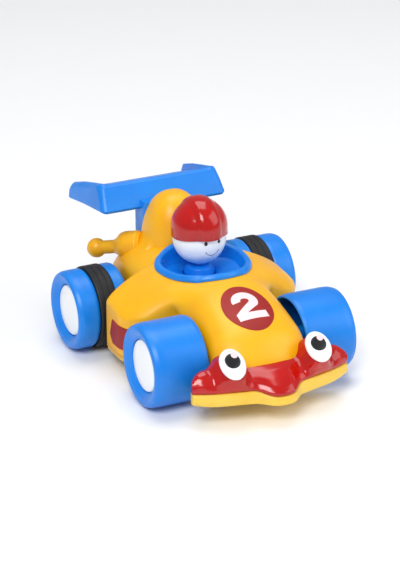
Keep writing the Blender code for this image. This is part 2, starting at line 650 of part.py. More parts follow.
def make_wing(material):
    """Rear wing with end fences, hollow underneath, on a pylon that hugs the headrest."""
    share = [-1.0, -0.985, -0.96, -0.925, -0.89, -0.865, -0.84, -0.5, 0.0]
    share = share + [-value for value in reversed(share[:-1])]
    wing = ring_solid("rear_wing", [wing_section(s) for s in share], material, ends="caps")
    pocket = []
    for x in (-34.5 * MM, 34.5 * MM):
        pocket.append([
            (x, 56.5 * MM, 64.0 * MM), (x, 56.5 * MM, 78.5 * MM), (x, 62.8 * MM, 85.6 * MM),
            (x, 101.5 * MM, 70.4 * MM), (x, 101.5 * MM, 64.0 * MM),
        ])
    combine(wing, ring_solid("wing_pocket", pocket, None, ends="caps"), "DIFFERENCE")
    low = (-PYLON_HALF, PYLON_FRONT, PYLON_FOOT_Z)
    high = (PYLON_HALF, PYLON_REAR, PYLON_TOP_Z)
    pylon = box("pylon", low, high, None, 1.5 * MM)
    combine(wing, pylon, "UNION")
    combine(wing, hump_dome("wing_hump_clearance", SKIN_GAP, 40 * MM), "DIFFERENCE")
    combine(wing, body_loft("wing_body_clearance", SKIN_GAP, RIM_Z), "DIFFERENCE")
    return wing


def make_exhaust(name, side, material):
    """Exhaust stub: thick collar on the body's shoulder, thin neck and ball end."""
    start = np.array([side * EXHAUST_START[0], EXHAUST_START[1], EXHAUST_START[2]])
    tip = np.array([side * EXHAUST_TIP[0], EXHAUST_TIP[1], EXHAUST_TIP[2]])
    length = float(np.linalg.norm(tip - start))
    axis = (tip - start) / length
    across = np.cross(axis, (0.0, 0.0, 1.0))
    across = across / np.linalg.norm(across)
    up = np.cross(across, axis)
    profile = [
        (6.5 * MM, -4.0 * MM), (8.4 * MM, -2.0 * MM), (8.6 * MM, 6.0 * MM), (7.8 * MM, 9.0 * MM),
        (5.4 * MM, 11.5 * MM), (EXHAUST_NECK, 14.0 * MM),
    ]
    neck = math.asin(EXHAUST_NECK / EXHAUST_BALL)
    for lift in np.linspace(math.pi - neck, 0.25, 7):
        profile.append((EXHAUST_BALL * math.sin(lift), length + EXHAUST_BALL * math.cos(lift)))
    angle = 0.1 + np.linspace(0.0, 2 * math.pi, 18, endpoint=False)
    rings = []
    for radius, along in profile:
        ring = np.outer(np.cos(angle), across) + np.outer(np.sin(angle), up)
        rings.append(start + axis * along + ring * radius)
    pole = tuple(start + axis * (length + EXHAUST_BALL))
    stub = ring_solid(name, rings, material, ends="caps", last_pole=pole)
    combine(stub, body_loft(f"{name}_body_clearance", SKIN_GAP * 1.1, RIM_Z), "DIFFERENCE")
    combine(stub, hump_dome(f"{name}_hump_clearance", SKIN_GAP, 40 * MM), "DIFFERENCE")
    low = (-PYLON_HALF - SKIN_GAP, PYLON_FRONT - SKIN_GAP, PYLON_FOOT_Z)
    high = (PYLON_HALF + SKIN_GAP, PYLON_REAR + SKIN_GAP, PYLON_TOP_Z + 1 * MM)
    combine(stub, box(f"{name}_pylon_clearance", low, high, None), "DIFFERENCE")
    return stub


# Wheels


def front_wheel_profile():
    """Drum wheel: tread, rounded shoulder, cap recess, web and hub; (radius, x) from bore round to bore."""
    rows = (
        (1.8, 30.0), (5.0, 30.0), (5.0, 53.5), (21.4, 53.5), (21.4, 31.5), (22.4, 30.2), (23.3, 30.6),
        (24.0, 32.6), (24.0, 46.0), (24.0, 56.0), (23.7, 59.2), (22.8, 61.6), (21.2, 62.4), (18.6, 61.7),
        (16.2, 60.4), (15.2, 59.6), (15.2, 56.5), (1.8, 56.5),
    )
    return [(radius * MM, x * MM) for radius, x in rows]


def rear_wheel_profile():
    """Rear drum: smooth outer ring, seat for the tyre band, narrow inner rim."""
    rows = (
        (1.8, 37.6), (5.0, 37.6), (5.0, 61.0), (19.2, 61.0), (19.2, 39.2), (21.4, 37.8), (22.8, 38.2),
        (23.4, 39.6), (23.4, 45.2), (21.6, 45.4), (21.6, 57.0), (22.6, 57.3), (23.2, 58.8), (23.2, 64.6),
        (23.0, 67.4), (22.2, 69.4), (20.9, 70.2), (18.4, 69.4), (16.2, 68.0), (15.2, 67.2), (15.2, 64.3),
        (1.8, 64.3),
    )
    return [(radius * MM, x * MM) for radius, x in rows]


def cap_profile(face_x):
    """Domed push-in hub cap whose rim stands at face_x."""
    rows = (
        (0.0, -2.6), (14.0, -2.6), (14.8, -2.2), (14.8, -0.5), (14.2, 0.0), (10.0, 0.7), (5.0, 1.0),
        (0.0, 1.1),
    )
    return [(radius * MM, face_x + along * MM) for radius, along in rows]


def tyre_profile():
    """Soft traction band with eased edges."""
    rows = ((21.9, 45.8), (23.7, 45.8), (24.0, 46.4), (24.0, 56.0), (23.7, 56.6), (21.9, 56.6))
    return [(radius * MM, x * MM) for radius, x in rows]


def axle_profile(half):
    """Steel axle with chamfered ends."""
    return (
        (0.0, -half), (1.1 * MM, -half), (AXLE_RADIUS, -half + 0.5 * MM), (AXLE_RADIUS, half - 0.5 * MM),
        (1.1 * MM, half), (0.0, half),
    )


# Spring motor


def gear_outline(teeth, first_tooth):
    """Radius and angle of four points per tooth, the first tooth centred on first_tooth."""
    pitch = teeth * MODULE / 2
    tip = pitch + 0.8 * MODULE
    root = pitch - 1.1 * MODULE
    share = 2 * math.pi / teeth
    radius = []
    angle = []
    for tooth in range(teeth):
        middle = first_tooth + tooth * share
        for offset, value in ((-0.32, root), (-0.10, tip), (0.10, tip), (0.32, root)):
            angle.append(middle + offset * share)
            radius.append(value)
    return np.array(radius), np.array(angle)


def gear_rings(teeth, first_tooth, centre, levels):
    """Rings for a gear about X. levels are (x, radius), where None is the toothed outline."""
    toothed, angle = gear_outline(teeth, first_tooth)
    rings = []
    for x, radius in levels:
        r = toothed if radius is None else np.full(len(angle), radius)
        ring = [np.full(len(angle), x), centre[0] + r * np.cos(angle), centre[1] + r * np.sin(angle)]
        rings.append(np.stack(ring, axis=-1))
    return rings


def gear_centres():
    """Centres (y, z) of pinion, idler and drum, from the teeth and the two train angles."""
    pinion = np.array([REAR_AXLE_Y, WHEEL_RADIUS])
    first = (PINION_TEETH + IDLER_TEETH) * MODULE / 2 + MESH_PLAY
    second = (IDLER_TEETH + DRUM_TEETH) * MODULE / 2 + MESH_PLAY
    idler = pinion + first * np.array([math.cos(IDLER_ANGLE), math.sin(IDLER_ANGLE)])
    drum = idler + second * np.array([math.cos(DRUM_ANGLE), math.sin(DRUM_ANGLE)])
    return pinion, idler, drum


def meshing_phase(driver_teeth, driver_phase, driven_teeth, line):
    """First-tooth angle that puts a gap of the driven gear where the driver's tooth points."""
    driver_share = 2 * math.pi / driver_teeth
    driven_share = 2 * math.pi / driven_teeth
    lead = (line - driver_phase) / driver_share
    return line + math.pi + driven_share * (lead - math.floor(lead) + 0.5)


def make_gears(materials):
    """Axle pinion, idler and spring drum in one plane, each phased to mesh with the last."""
    pinion, idler, drum = gear_centres()
    pinion_phase = IDLER_ANGLE
    idler_phase = meshing_phase(PINION_TEETH, pinion_phase, IDLER_TEETH, IDLER_ANGLE)
    drum_phase = meshing_phase(IDLER_TEETH, idler_phase, DRUM_TEETH, DRUM_ANGLE)
    bore = AXLE_RADIUS + BORE_GAP
    levels = [
        (-3.9 * MM, bore), (-3.9 * MM, None), (-1.7 * MM, None), (-1.7 * MM, 2.6 * MM), (4.0 * MM, 2.6 * MM),
        (4.0 * MM, bore),
    ]
    ring_solid("axle_pinion", gear_rings(PINION_TEETH, pinion_phase, pinion, levels), materials["acetal"])
    bore = 1.0 * MM + BORE_GAP
    levels = [
        (-3.8 * MM, bore), (-3.8 * MM, None), (-1.8 * MM, None), (-1.8 * MM, 2.6 * MM), (4.0 * MM, 2.6 * MM),
        (4.0 * MM, bore),
    ]
    ring_solid("idler_gear", gear_rings(IDLER_TEETH, idler_phase, idler, levels), materials["acetal"])
    bore = AXLE_RADIUS + BORE_GAP
    levels = [
        (-3.8 * MM, bore), (-3.8 * MM, None), (-1.6 * MM, None), (-1.6 * MM, 9.4 * MM), (4.2 * MM, 9.4 * MM),
        (4.2 * MM, 8.6 * MM), (-1.4 * MM, 8.6 * MM), (-1.4 * MM, bore),
    ]
    ring_solid("spring_drum", gear_rings(DRUM_TEETH, drum_phase, drum, levels), materials["acetal"])
    make_mainspring(drum, materials["spring"])


def make_mainspring(centre, material):
    """Flat spiral strip wound round the arbor, inside the drum: r grows evenly with the angle."""
    turns = 3.0
    angle = np.linspace(0.0, turns * 2 * math.pi, int(turns * 14) + 1)
    radius = 2.7 * MM + (8.0 - 2.7) * MM * angle / angle[-1]
    half = 0.22 * MM
    rings = []
    for r, a in zip(radius, angle):
        near = (centre[0] + (r - half) * math.cos(a), centre[1] + (r - half) * math.sin(a))
        far = (centre[0] + (r + half) * math.cos(a), centre[1] + (r + half) * math.sin(a))
        rings.append([(-1.0 * MM, *near), (-1.0 * MM, *far), (3.6 * MM, *far), (3.6 * MM, *near)])
    return ring_solid("mainspring", rings, material, ends="caps")


def casing_outline(grow, steps=36):
    """Convex outline round the three gears, grown by grow: the farthest tangent in each direction."""
    pinion, idler, drum = gear_centres()
    rounds = ((pinion, 5.8 * MM), (idler, 9.3 * MM), (drum, 11.6 * MM))
    angle = np.linspace(0.0, 2 * math.pi, 720, endpoint=False)
    ring = np.stack([np.cos(angle), np.sin(angle)], -1)
    points = np.concatenate([centre + (radius + grow) * ring for centre, radius in rounds])
    outline = []
    for a in np.linspace(0.0, 2 * math.pi, steps, endpoint=False):
        direction = np.array([math.cos(a), math.sin(a)])
        outline.append(points[np.argmax(points @ direction)])
    keep = [p for i, p in enumerate(outline) if np.linalg.norm(p - outline[i - 1]) > 0.05 * MM]
    return np.array(keep)


def make_casing(name, side, material):
    """Half of the motor casing: a tray with holes for axle and arbors, and a screw tab."""
    outer = casing_outline(1.3 * MM)
    inner = casing_outline(0.1 * MM)
    rings = []
    for x in (0.15 * MM, 6.4 * MM):
        rings.append([(side * x, y, z) for y, z in outer])
    half = ring_solid(name, rings, material, ends="caps")
    rings = []
    for x in (-1.0 * MM, 5.0 * MM):
        rings.append([(side * x, y, z) for y, z in inner])
    combine(half, ring_solid(f"{name}_hollow", rings, None, ends="caps"), "DIFFERENCE")
    low = (min(side * 5.2 * MM, side * 14.0 * MM), MOTOR_TAB_Y - 3.5 * MM, MOTOR_TAB_Z)
    high = (max(side * 5.2 * MM, side * 14.0 * MM), MOTOR_TAB_Y + 3.5 * MM, MOTOR_TAB_Z + 1.6 * MM)
    combine(half, box(f"{name}_tab", low, high, None), "UNION")
    centre = (side * MOTOR_TAB_X, MOTOR_TAB_Y, 0.0)
    hole = rod_tool(f"{name}_tab_hole", 1.5 * MM, MOTOR_TAB_Z - 1 * MM, MOTOR_TAB_Z + 3 * MM, centre, "z", 12)
    combine(half, hole, "DIFFERENCE")
    pinion, idler, drum = gear_centres()
    bearings = (("axle", pinion, 1.8 * MM), ("idler", idler, 1.3 * MM), ("drum", drum, 1.8 * MM))
    for label, spot, radius in bearings:
        centre = (0.0, spot[0], spot[1])
        hole = rod_tool(f"{name}_{label}_hole", radius, -8 * MM, 8 * MM, centre, "x", 16)
        combine(half, hole, "DIFFERENCE")
    return half


# Number disc and side stickers


def make_number_disc(material):
    """Thin printed disc that follows the bonnet, just above its skin."""
    rings = []
    angle = np.linspace(0.0, 2 * math.pi, 26, endpoint=False)
    shares = (0.25, 0.5, 0.75, 0.9, 1.0)
    top = DISC_LIFT + DISC_THICKNESS
    for lift, order in ((DISC_LIFT, shares), (top, shares[::-1])):
        for share in order:
            x = DISC_RADII[0] * share * np.cos(angle)
            y = DISC_CENTRE_Y + DISC_RADII[1] * share * np.sin(angle)
            z = np.array([roof_height(px, py) for px, py in zip(x, y)]) + lift
            rings.append(np.stack([x, y, z], axis=-1))
    low = (0.0, DISC_CENTRE_Y, roof_height(0.0, DISC_CENTRE_Y) + DISC_LIFT)
    high = (0.0, DISC_CENTRE_Y, roof_height(0.0, DISC_CENTRE_Y) + top)
    return ring_solid("number_disc", rings, material, ends="caps", first_pole=low, last_pole=high)


def make_sticker(name, side, material):
    """Flat panel sticker on the side pod."""
    inner = side * 56.35 * MM
    outer = side * 56.7 * MM
    outline = ((2.9, 16.4), (5.4, 18.6), (6.1, 21.2), (3.1, 31.1), (-4.0, 32.6), (-4.0, 16.6))
    rings = [[(x, y * MM, z * MM) for y, z in outline] for x in (inner, outer)]
    return ring_solid(name, rings, material, ends="caps")


def hang_on(parent_name, location, children):
    """Empty on a joint's axis that carries the moving pieces without moving them."""
    holder = bpy.data.objects.new(parent_name, None)
    holder.location = location
    bpy.context.scene.collection.objects.link(holder)
    bpy.context.view_layer.update()
    for child in children:
        piece = bpy.data.objects[child]
        piece.parent = holder
        piece.matrix_parent_inverse = holder.matrix_world.inverted()


def main():
    """Build every piece and hang the moving ones on their axes."""
    clear_scene()
    paint = {
        "yellow": plastic("yellow_abs", YELLOW, 0.30),
        "pale": plastic("pale_yellow_abs", PALE_YELLOW, 0.34),
        "blue": plastic("blue_abs", BLUE, 0.32),
        "red": plastic("red_abs", RED, 0.16),
        "white": plastic("white_abs", WHITE, 0.28),
        "black": plastic("black_print", BLACK, 0.35),
        "rubber": plastic("black_rubber", BLACK, 0.75),
        "steel": plastic("axle_steel", STEEL, 0.25, 1.0),
        "spring": plastic("spring_steel", SPRING_STEEL, 0.35, 1.0),
        "acetal": plastic("natural_acetal", ACETAL, 0.42),
    }
    make_body_shell(paint["yellow"])
    make_chassis(paint["pale"])
    make_bumper(paint["red"])
    make_tub(paint["blue"])
    make_wing(paint["blue"])
    make_number_disc(paint["red"])
    for word, side in (("left", 1.0), ("right", -1.0)):
        make_exhaust(f"exhaust_{word}", side, paint["yellow"])
        make_sticker(f"side_sticker_{word}", side, paint["red"])
        make_eye(f"eye_{word}", side, paint["white"], EYE_RADII, -EYE_SINK, 3.0 * MM, (0.0, 0.0))
        shift = (0.0, 1.0 * MM)
        make_eye(f"pupil_{word}", side, paint["black"], PUPIL_RADII, 1.95 * MM, 0.5 * MM, shift)
        mirror = mirrored if side < 0 else list
        origin = (0.0, FRONT_AXLE_Y, WHEEL_RADIUS)
        turned(f"front_wheel_{word}", mirror(front_wheel_profile()), origin, "x", paint["blue"])
        turned(f"front_hub_cap_{word}", mirror(cap_profile(59.4 * MM)), origin, "x", paint["white"], 20)
        origin = (0.0, REAR_AXLE_Y, WHEEL_RADIUS)
        turned(f"rear_wheel_{word}", mirror(rear_wheel_profile()), origin, "x", paint["blue"])
        turned(f"rear_hub_cap_{word}", mirror(cap_profile(67.2 * MM)), origin, "x", paint["white"], 20)
        turned(f"rear_tyre_{word}", mirror(tyre_profile()), origin, "x", paint["rubber"])
        make_casing(f"motor_casing_{word}", side, paint["white"])
        centre = (side * MOTOR_TAB_X, MOTOR_TAB_Y, 0.0)
        head_z = MOTOR_TAB_Z + 3.0 * MM
        make_screw(f"motor_screw_{word}", centre, head_z, 6.5 * MM, 2.4 * MM, 1.0 * MM, -1.0, paint["steel"])
    origin = (0.0, FRONT_AXLE_Y, WHEEL_RADIUS)
    turned("front_axle", axle_profile(FRONT_AXLE_HALF), origin, "x", paint["steel"], 20)
    origin = (0.0, REAR_AXLE_Y, WHEEL_RADIUS)
    turned("rear_axle", axle_profile(REAR_AXLE_HALF), origin, "x", paint["steel"], 20)
    make_gears(paint)
    pinion, idler, drum = gear_centres()
    profile = ((0.0, -6.2 * MM), (1.0 * MM, -6.2 * MM), (1.0 * MM, 6.2 * MM), (0.0, 6.2 * MM))
    turned("idler_pin", profile, (0.0, idler[0], idler[1]), "x", paint["steel"], 12)
    profile = ((0.0, -6.2 * MM), (1.5 * MM, -6.2 * MM), (1.5 * MM, 6.2 * MM), (0.0, 6.2 * MM))
    turned("spring_arbor", profile, (0.0, drum[0], drum[1]), "x", paint["steel"], 12)
    for number, (post_x, post_y) in enumerate(SCREW_POSTS, 1):
        centre = (post_x, post_y, 0.0)
        steel = paint["steel"]
        make_screw(f"chassis_screw_{number}", centre, 8.3 * MM, 13.0 * MM, 2.9 * MM, 1.25 * MM, 1.0, steel)
    make_driver_body(paint["blue"])
    make_driver_head(paint["white"])
    make_helmet(paint["red"])
    front = ["front_axle"]
    rear = ["rear_axle", "axle_pinion"]
    for word in ("left", "right"):
        front = front + [f"front_wheel_{word}", f"front_hub_cap_{word}"]
        rear = rear + [f"rear_wheel_{word}", f"rear_hub_cap_{word}", f"rear_tyre_{word}"]
    hang_on("front_axle_axis", (0.0, FRONT_AXLE_Y, WHEEL_RADIUS), front)
    hang_on("rear_axle_axis", (0.0, REAR_AXLE_Y, WHEEL_RADIUS), rear)
    hang_on("idler_axis", (0.0, idler[0], idler[1]), ["idler_gear"])
    hang_on("drum_axis", (0.0, drum[0], drum[1]), ["spring_drum", "mainspring"])
    hang_on("driver_axis", (0.0, DRIVER_Y, SOCKET_FLOOR), ["driver_body", "driver_head", "driver_helmet"])


main()
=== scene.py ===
"""Pull-back racing car: the visible model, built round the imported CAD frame.

The car faces -Y and stands on z = 0. Shapes are worked out in millimetres, on grids of two parameters,
and turned to metres when they become a mesh.
"""

import json
import math

import bpy
import numpy as np
from mathutils import Euler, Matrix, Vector


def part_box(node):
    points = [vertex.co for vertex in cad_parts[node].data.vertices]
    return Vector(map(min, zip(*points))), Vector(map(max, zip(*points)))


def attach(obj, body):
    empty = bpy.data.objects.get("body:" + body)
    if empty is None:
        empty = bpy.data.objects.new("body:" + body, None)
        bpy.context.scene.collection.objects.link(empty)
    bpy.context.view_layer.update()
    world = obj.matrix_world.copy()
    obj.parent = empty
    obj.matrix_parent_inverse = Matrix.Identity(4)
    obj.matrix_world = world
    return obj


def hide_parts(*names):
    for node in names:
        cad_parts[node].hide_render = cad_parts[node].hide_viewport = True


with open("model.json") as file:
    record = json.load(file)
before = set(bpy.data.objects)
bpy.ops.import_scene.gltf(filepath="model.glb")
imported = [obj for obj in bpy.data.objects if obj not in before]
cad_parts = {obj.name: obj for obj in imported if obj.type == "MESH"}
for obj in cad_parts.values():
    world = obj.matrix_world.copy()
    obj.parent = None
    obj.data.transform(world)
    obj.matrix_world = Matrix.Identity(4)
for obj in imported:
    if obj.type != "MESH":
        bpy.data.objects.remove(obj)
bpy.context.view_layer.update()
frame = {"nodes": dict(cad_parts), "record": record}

MM = 0.001
SIDES = (("left", 1.0), ("right", -1.0))


def node_middle(name):
    """Middle of a CAD node's box, in millimetres."""
    low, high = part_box(name)
    return np.array((low + high) / 2.0) / MM


FRONT_AXLE = node_middle("front_axle")
REAR_AXLE = node_middle("rear_axle")
DRIVER_Y = node_middle("driver_body")[1]

# Body outline by station, as (y, value) knots in millimetres: the same shape that the frame has
HALF_WIDTH = (
    (-86.0, 12.0), (-84.0, 19.0), (-80.0, 24.0), (-74.0, 27.0), (-66.0, 28.3), (-24.0, 28.6),
    (-22.2, 35.0), (-18.0, 46.5), (-12.0, 53.0), (-4.0, 56.0), (14.0, 56.0), (15.5, 34.0),
    (40.0, 33.5), (58.0, 31.5), (66.0, 28.0), (70.0, 24.0),
)
SIDE_TOP = (
    (-86.0, 16.0), (-82.0, 20.0), (-74.0, 27.0), (-62.0, 32.0), (-40.0, 36.0), (-24.0, 37.0),
    (-12.0, 35.0), (0.0, 36.5), (14.0, 38.0), (15.5, 42.0), (40.0, 42.0), (60.0, 36.0), (70.0, 28.0),
)
CROWN = (
    (-86.0, 24.0), (-85.0, 29.0), (-82.5, 34.0), (-79.0, 38.5), (-74.0, 43.2), (-68.0, 46.9),
    (-57.0, 51.2), (-45.0, 54.8), (-35.0, 57.0), (-22.0, 58.8), (0.0, 59.6), (14.0, 60.0),
    (40.0, 60.0), (54.0, 55.0), (64.0, 46.0), (70.0, 36.0),
)
SHOULDER_RISE = ((-86.0, 0.6), (-26.0, 0.55), (-18.0, 0.25), (14.0, 0.22), (15.5, 0.5), (70.0, 0.5))
CROWN_FLAT = (
    (-86.0, 0.7), (-60.0, 0.66), (-26.0, 0.72), (-12.0, 0.56), (14.0, 0.54), (15.5, 0.72), (70.0, 0.7),
)
RIM_Z = 11.1
WALL = 2.0
POD_END_Y = 14.0
POD_HALF = 56.0
POD_FILLET = 3.0
DECK_HALF = 35.5
DECK_START_Y = 15.8
POD_BLEND = 8.0
# Angles round a quarter circle, without its start, for the edges that a section turns over
EDGE_TURN = np.linspace(0.0, math.pi / 2, 9)[1:]
# The tail's rounded edge takes this share of its section, and the tail swells this far behind it
TAIL_EDGE = 0.09
TAIL_BULGE = 1.6

# Cockpit, driver and headrest
COCKPIT_Y = 3.5
COCKPIT_HALF_WIDTH = 28.0
COCKPIT_FRONT = 33.0
COCKPIT_REAR = 21.0
COCKPIT_LIP = 3.0
COCKPIT_LOW_Z = 45.0
SOCKET_RADIUS = 9.4
SOCKET_FLOOR = 41.0
HEAD_Z = 70.6
HEAD_RADIUS = 15.4
HELMET_Z = 79.0
HELMET_RADIUS = 16.3
CREST_HEIGHT = 1.2
# The printed face, in degrees on the head: it looks a little aside
FACE_TURN = 5.0
FACE_EYE = (16.2, 6.0)
FACE_EYE_SIZE = (3.9, 4.4)
SMILE_HALF = 16.5
SMILE_LOW = -24.5
SMILE_RISE = 10.5
HUMP_Y = 40.0
HUMP_BASE_Z = 50.0
HUMP_SIZE = (18.8, 18.8, 37.0)
HUMP_POWER = 2.4

# Bumper and eyes
BUMPER_HALF = 47.6
BUMPER_REAR = -73.8
BUMPER_TIP_Y = -85.2
BUMPER_CLOSE = 0.94
RIDGE_Z = 29.5
LOBE_X = 26.4
LOBE_HALF = 7.6
LOBE_RISE = 8.8
BOSS_X = 41.0
BOSS_HALF = 5.5
BOSS_RISE = 2.0
KNOB = (41.5, -86.5, 27.0)
KNOB_RADIUS = 6.0
EYE_CENTRE = (26.2, -90.6, 37.0)
EYE_LEAN = math.radians(50.0)
EYE_RADII = (7.4, 9.3)

# Floor pan, and the screws that hold it to the body
FLOOR_Z = 8.6
FLOOR_TOP_Z = 10.8
SCREW_SPOTS = ((-44.0, 2.0), (44.0, 2.0), (0.0, -66.0), (0.0, 62.0))

# Wing, its pylon and the exhausts
WING_HALF = 40.3
WING_TIP_DRAW = 4.6
POCKET_HALF = 34.5
PYLON_Y = 55.0
PYLON_HALVES = (15.5, 8.5)
PYLON_Z = (50.0, 79.0)
EXHAUST_START = (20.5, 48.2, 53.6)
EXHAUST_TIP = (38.2, 66.2, 48.2)
EXHAUST_BALL = 5.8
EXHAUST_ROOT = 4.0

# Number on the bonnet
DISC_CENTRE_Y = -55.5
DISC_RADII = (14.2, 17.0)

# Studio: the floor in millimetres, the rest in metres and degrees. A lamp is its name, place, size and watts.
FLOOR_REACH = 4000.0
LAMPS = (
    ("key_lamp", (-0.75, -0.9, 1.25), 0.7, 15.0), ("fill_lamp", (1.1, -0.9, 0.9), 1.1, 7.0),
    ("top_lamp", (0.1, 0.3, 1.5), 1.0, 9.0),
)
LAMP_AIM = (0.0, 0.0, 0.05)
SURROUND_STRENGTH = 0.38
CAMERA_LENS = 144.57
CAMERA_AIM = (-0.00756, -0.01083, 0.04855)
CAMERA_DISTANCE = 1.3
CAMERA_AZIMUTH = -25.68
CAMERA_ELEVATION = 23.47


# ------------------------ materials


def linear(code):
    """Linear RGBA of an sRGB hex colour, by the sRGB curve."""
    srgb = [int(code[i:i + 2], 16) / 255.0 for i in (1, 3, 5)]
    return (*[c / 12.92 if c <= 0.04045 else ((c + 0.055) / 1.055) ** 2.4 for c in srgb], 1.0)


def add(tree, kind, inputs, **settings):
    """A shader node with its settings; each input is a value, or a socket to link from."""
    made = tree.nodes.new(kind)
    for name, value in settings.items():
        setattr(made, name, value)
    for name, value in inputs.items():
        if isinstance(value, bpy.types.NodeSocket):
            tree.links.new(value, made.inputs[name])
        else:
            made.inputs[name].default_value = value
    return made


def per_mm(size):
    """Noise scale, in cells per metre, for a feature of this many millimetres."""
    return 1.0 / (size * MM)


def finish(
    name, base, shade, roughness, patch=22.0, grain=1.6, depth=0.004, smear=0.03, stretch=None, **sockets,
):
    """Material with three procedural layers over a Principled shader.

    Colour drifts from base to shade over patches of patch mm. Roughness drifts by smear over handling
    marks of 6 mm. A grain of that many mm is raised by depth mm as bump. stretch lengthens the grain
    along an axis. Other named sockets are set on the shader as they are.
    """
    made = bpy.data.materials.new(name)
    made.use_nodes = True
    tree = made.node_tree
    shader = tree.nodes["Principled BSDF"]
    place = add(tree, "ShaderNodeTexCoord", {}).outputs["Object"]
    drift = add(tree, "ShaderNodeTexNoise", {"Vector": place, "Scale": per_mm(patch), "Detail": 3.0})
    ramp = add(tree, "ShaderNodeMapRange", {
        "Value": drift.outputs["Fac"], "From Min": 0.35, "From Max": 0.65, "To Min": 0.0, "To Max": 1.0,
    })
    mixed = add(tree, "ShaderNodeMix", {"Factor": ramp.outputs["Result"]}, data_type="RGBA")
    mixed.inputs[6].default_value = linear(base)
    mixed.inputs[7].default_value = linear(shade)
    tree.links.new(mixed.outputs[2], shader.inputs["Base Color"])
    touch = add(tree, "ShaderNodeTexNoise", {"Vector": place, "Scale": per_mm(6.0), "Detail": 4.0})
    worn = add(tree, "ShaderNodeMapRange", {
        "Value": touch.outputs["Fac"], "From Min": 0.3, "From Max": 0.7,
        "To Min": max(roughness - smear, 0.02), "To Max": roughness + smear,
    })
    tree.links.new(worn.outputs["Result"], shader.inputs["Roughness"])
    along = place
    if stretch is not None:
        along = add(tree, "ShaderNodeMapping", {"Vector": place, "Scale": stretch}).outputs["Vector"]
    fine = add(tree, "ShaderNodeTexNoise", {"Vector": along, "Scale": per_mm(grain), "Detail": 2.0})
    raised = add(tree, "ShaderNodeBump", {
        "Height": fine.outputs["Fac"], "Distance": depth * MM, "Strength": 0.5,
    })
    tree.links.new(raised.outputs["Normal"], shader.inputs["Normal"])
    for socket, value in sockets.items():
        shader.inputs[socket.replace("_", " ")].default_value = value
    return made


# Injection-moulded ABS from a polished tool: even colour with soft flow marks, broad clean highlights
YELLOW_ABS = finish("moulded_abs_yellow", "#FABB0C", "#F8B108", 0.36, IOR=1.5)
# The floor moulding is a paler batch of the same ABS, left a little duller
PALE_ABS = finish("moulded_abs_pale_yellow", "#F7D050", "#F2C43E", 0.36, IOR=1.53)
# Blue ABS of wheels, wing and cockpit: satin, so highlights spread along the rounded shoulders
BLUE_ABS = finish("moulded_abs_blue", "#0585EA", "#027CDF", 0.36, IOR=1.5)
# Red ABS from a mirror-polished tool: small hard highlights
RED_ABS = finish(
    "polished_abs_red", "#BE0804", "#B20603", 0.15, grain=0.8, IOR=1.54, Coat_Weight=0.1, Coat_Roughness=0.06,
)
# White ABS of hub caps and face: bright, faintly blue in its shade
WHITE_ABS = finish("moulded_abs_white", "#FBFDFE", "#F6FAFD", 0.30, depth=0.002, IOR=1.53, Coat_Weight=0.1)
# Pad-printed ink: a thin flat film, a little less glossy than the plastic below it
BLACK_INK = finish("pad_printed_ink_black", "#0D0D10", "#15151A", 0.30, grain=0.2, IOR=1.5)
# Screen-printed white ink of the 2: one thin coat, so the red below gives it a faint pink. The same white
# makes the painted highlight on each eye's pupil.
WHITE_INK_AND_PAINTED_HIGHLIGHT = finish("screen_printed_ink_white_and_painted_highlight", "#FBE4E6", "#F7D6DA", 0.34, grain=0.2, IOR=1.5)
# Printed vinyl label with a satin film
RED_LABEL = finish("printed_vinyl_label_red", "#A01409", "#960F06", 0.52, grain=0.25, IOR=1.5)
# Soft thermoplastic rubber, moulded on: matt black with a fine skin
RUBBER = finish(
    "moulded_rubber_black", "#101014", "#17171C", 0.62, grain=0.5, depth=0.03, smear=0.1, IOR=1.52,
)
# Drawn steel rod and zinc-plated screws: lengthwise drawing marks
STEEL = finish(
    "drawn_steel_bright", "#C9CBD0", "#BFC2C8", 0.26, patch=4.0, grain=0.15,
    stretch=(0.08, 1.0, 1.0), Metallic=1.0,
)
# Blued spring strip: rolled, dark with an oil-blue cast
SPRING_STEEL = finish(
    "blued_spring_steel", "#6E7482", "#5C6474", 0.33, patch=5.0, grain=0.15,
    stretch=(1.0, 0.1, 0.1), Metallic=1.0,
)
# Natural acetal gears: milky, waxy sheen
ACETAL = finish("moulded_acetal_natural", "#EDEBE1", "#E4E1D5", 0.42, patch=6.0, grain=0.3, IOR=1.48)


# ------------------------ mesh tools

# Edges sharper than this many degrees stay sharp in the shading
CREASE = 38.0


def through(knots, at):
    """Monotone cubic through (position, value) knots."""
    x, v = np.array(knots).T
    step = np.diff(x)
    slope = np.diff(v) / step
    tangent = np.zeros(len(x))
    same = slope[:-1] * slope[1:] > 0
    safe = np.where(slope == 0, 1.0, slope)
    tangent[1:-1] = np.where(same, 2.0 / (1.0 / safe[:-1] + 1.0 / safe[1:]), 0.0)
    tangent[0] = slope[0]
    tangent[-1] = slope[-1]
    at = np.clip(np.asarray(at, float), x[0], x[-1])
    i = np.clip(np.searchsorted(x, at, side="right") - 1, 0, len(x) - 2)
    s = (at - x[i]) / step[i]
    rise = v[i] * (1 + 2 * s) * (1 - s) ** 2 + v[i + 1] * s * s * (3 - 2 * s)
    return rise + step[i] * (tangent[i] * s * (1 - s) ** 2 - tangent[i + 1] * s * s * (1 - s))


def smooth_step(value, low, high):
    """0 below low, 1 above high, and a smooth cubic between."""
    t = np.clip((value - low) / (high - low), 0.0, 1.0)
    return t * t * (3 - 2 * t)


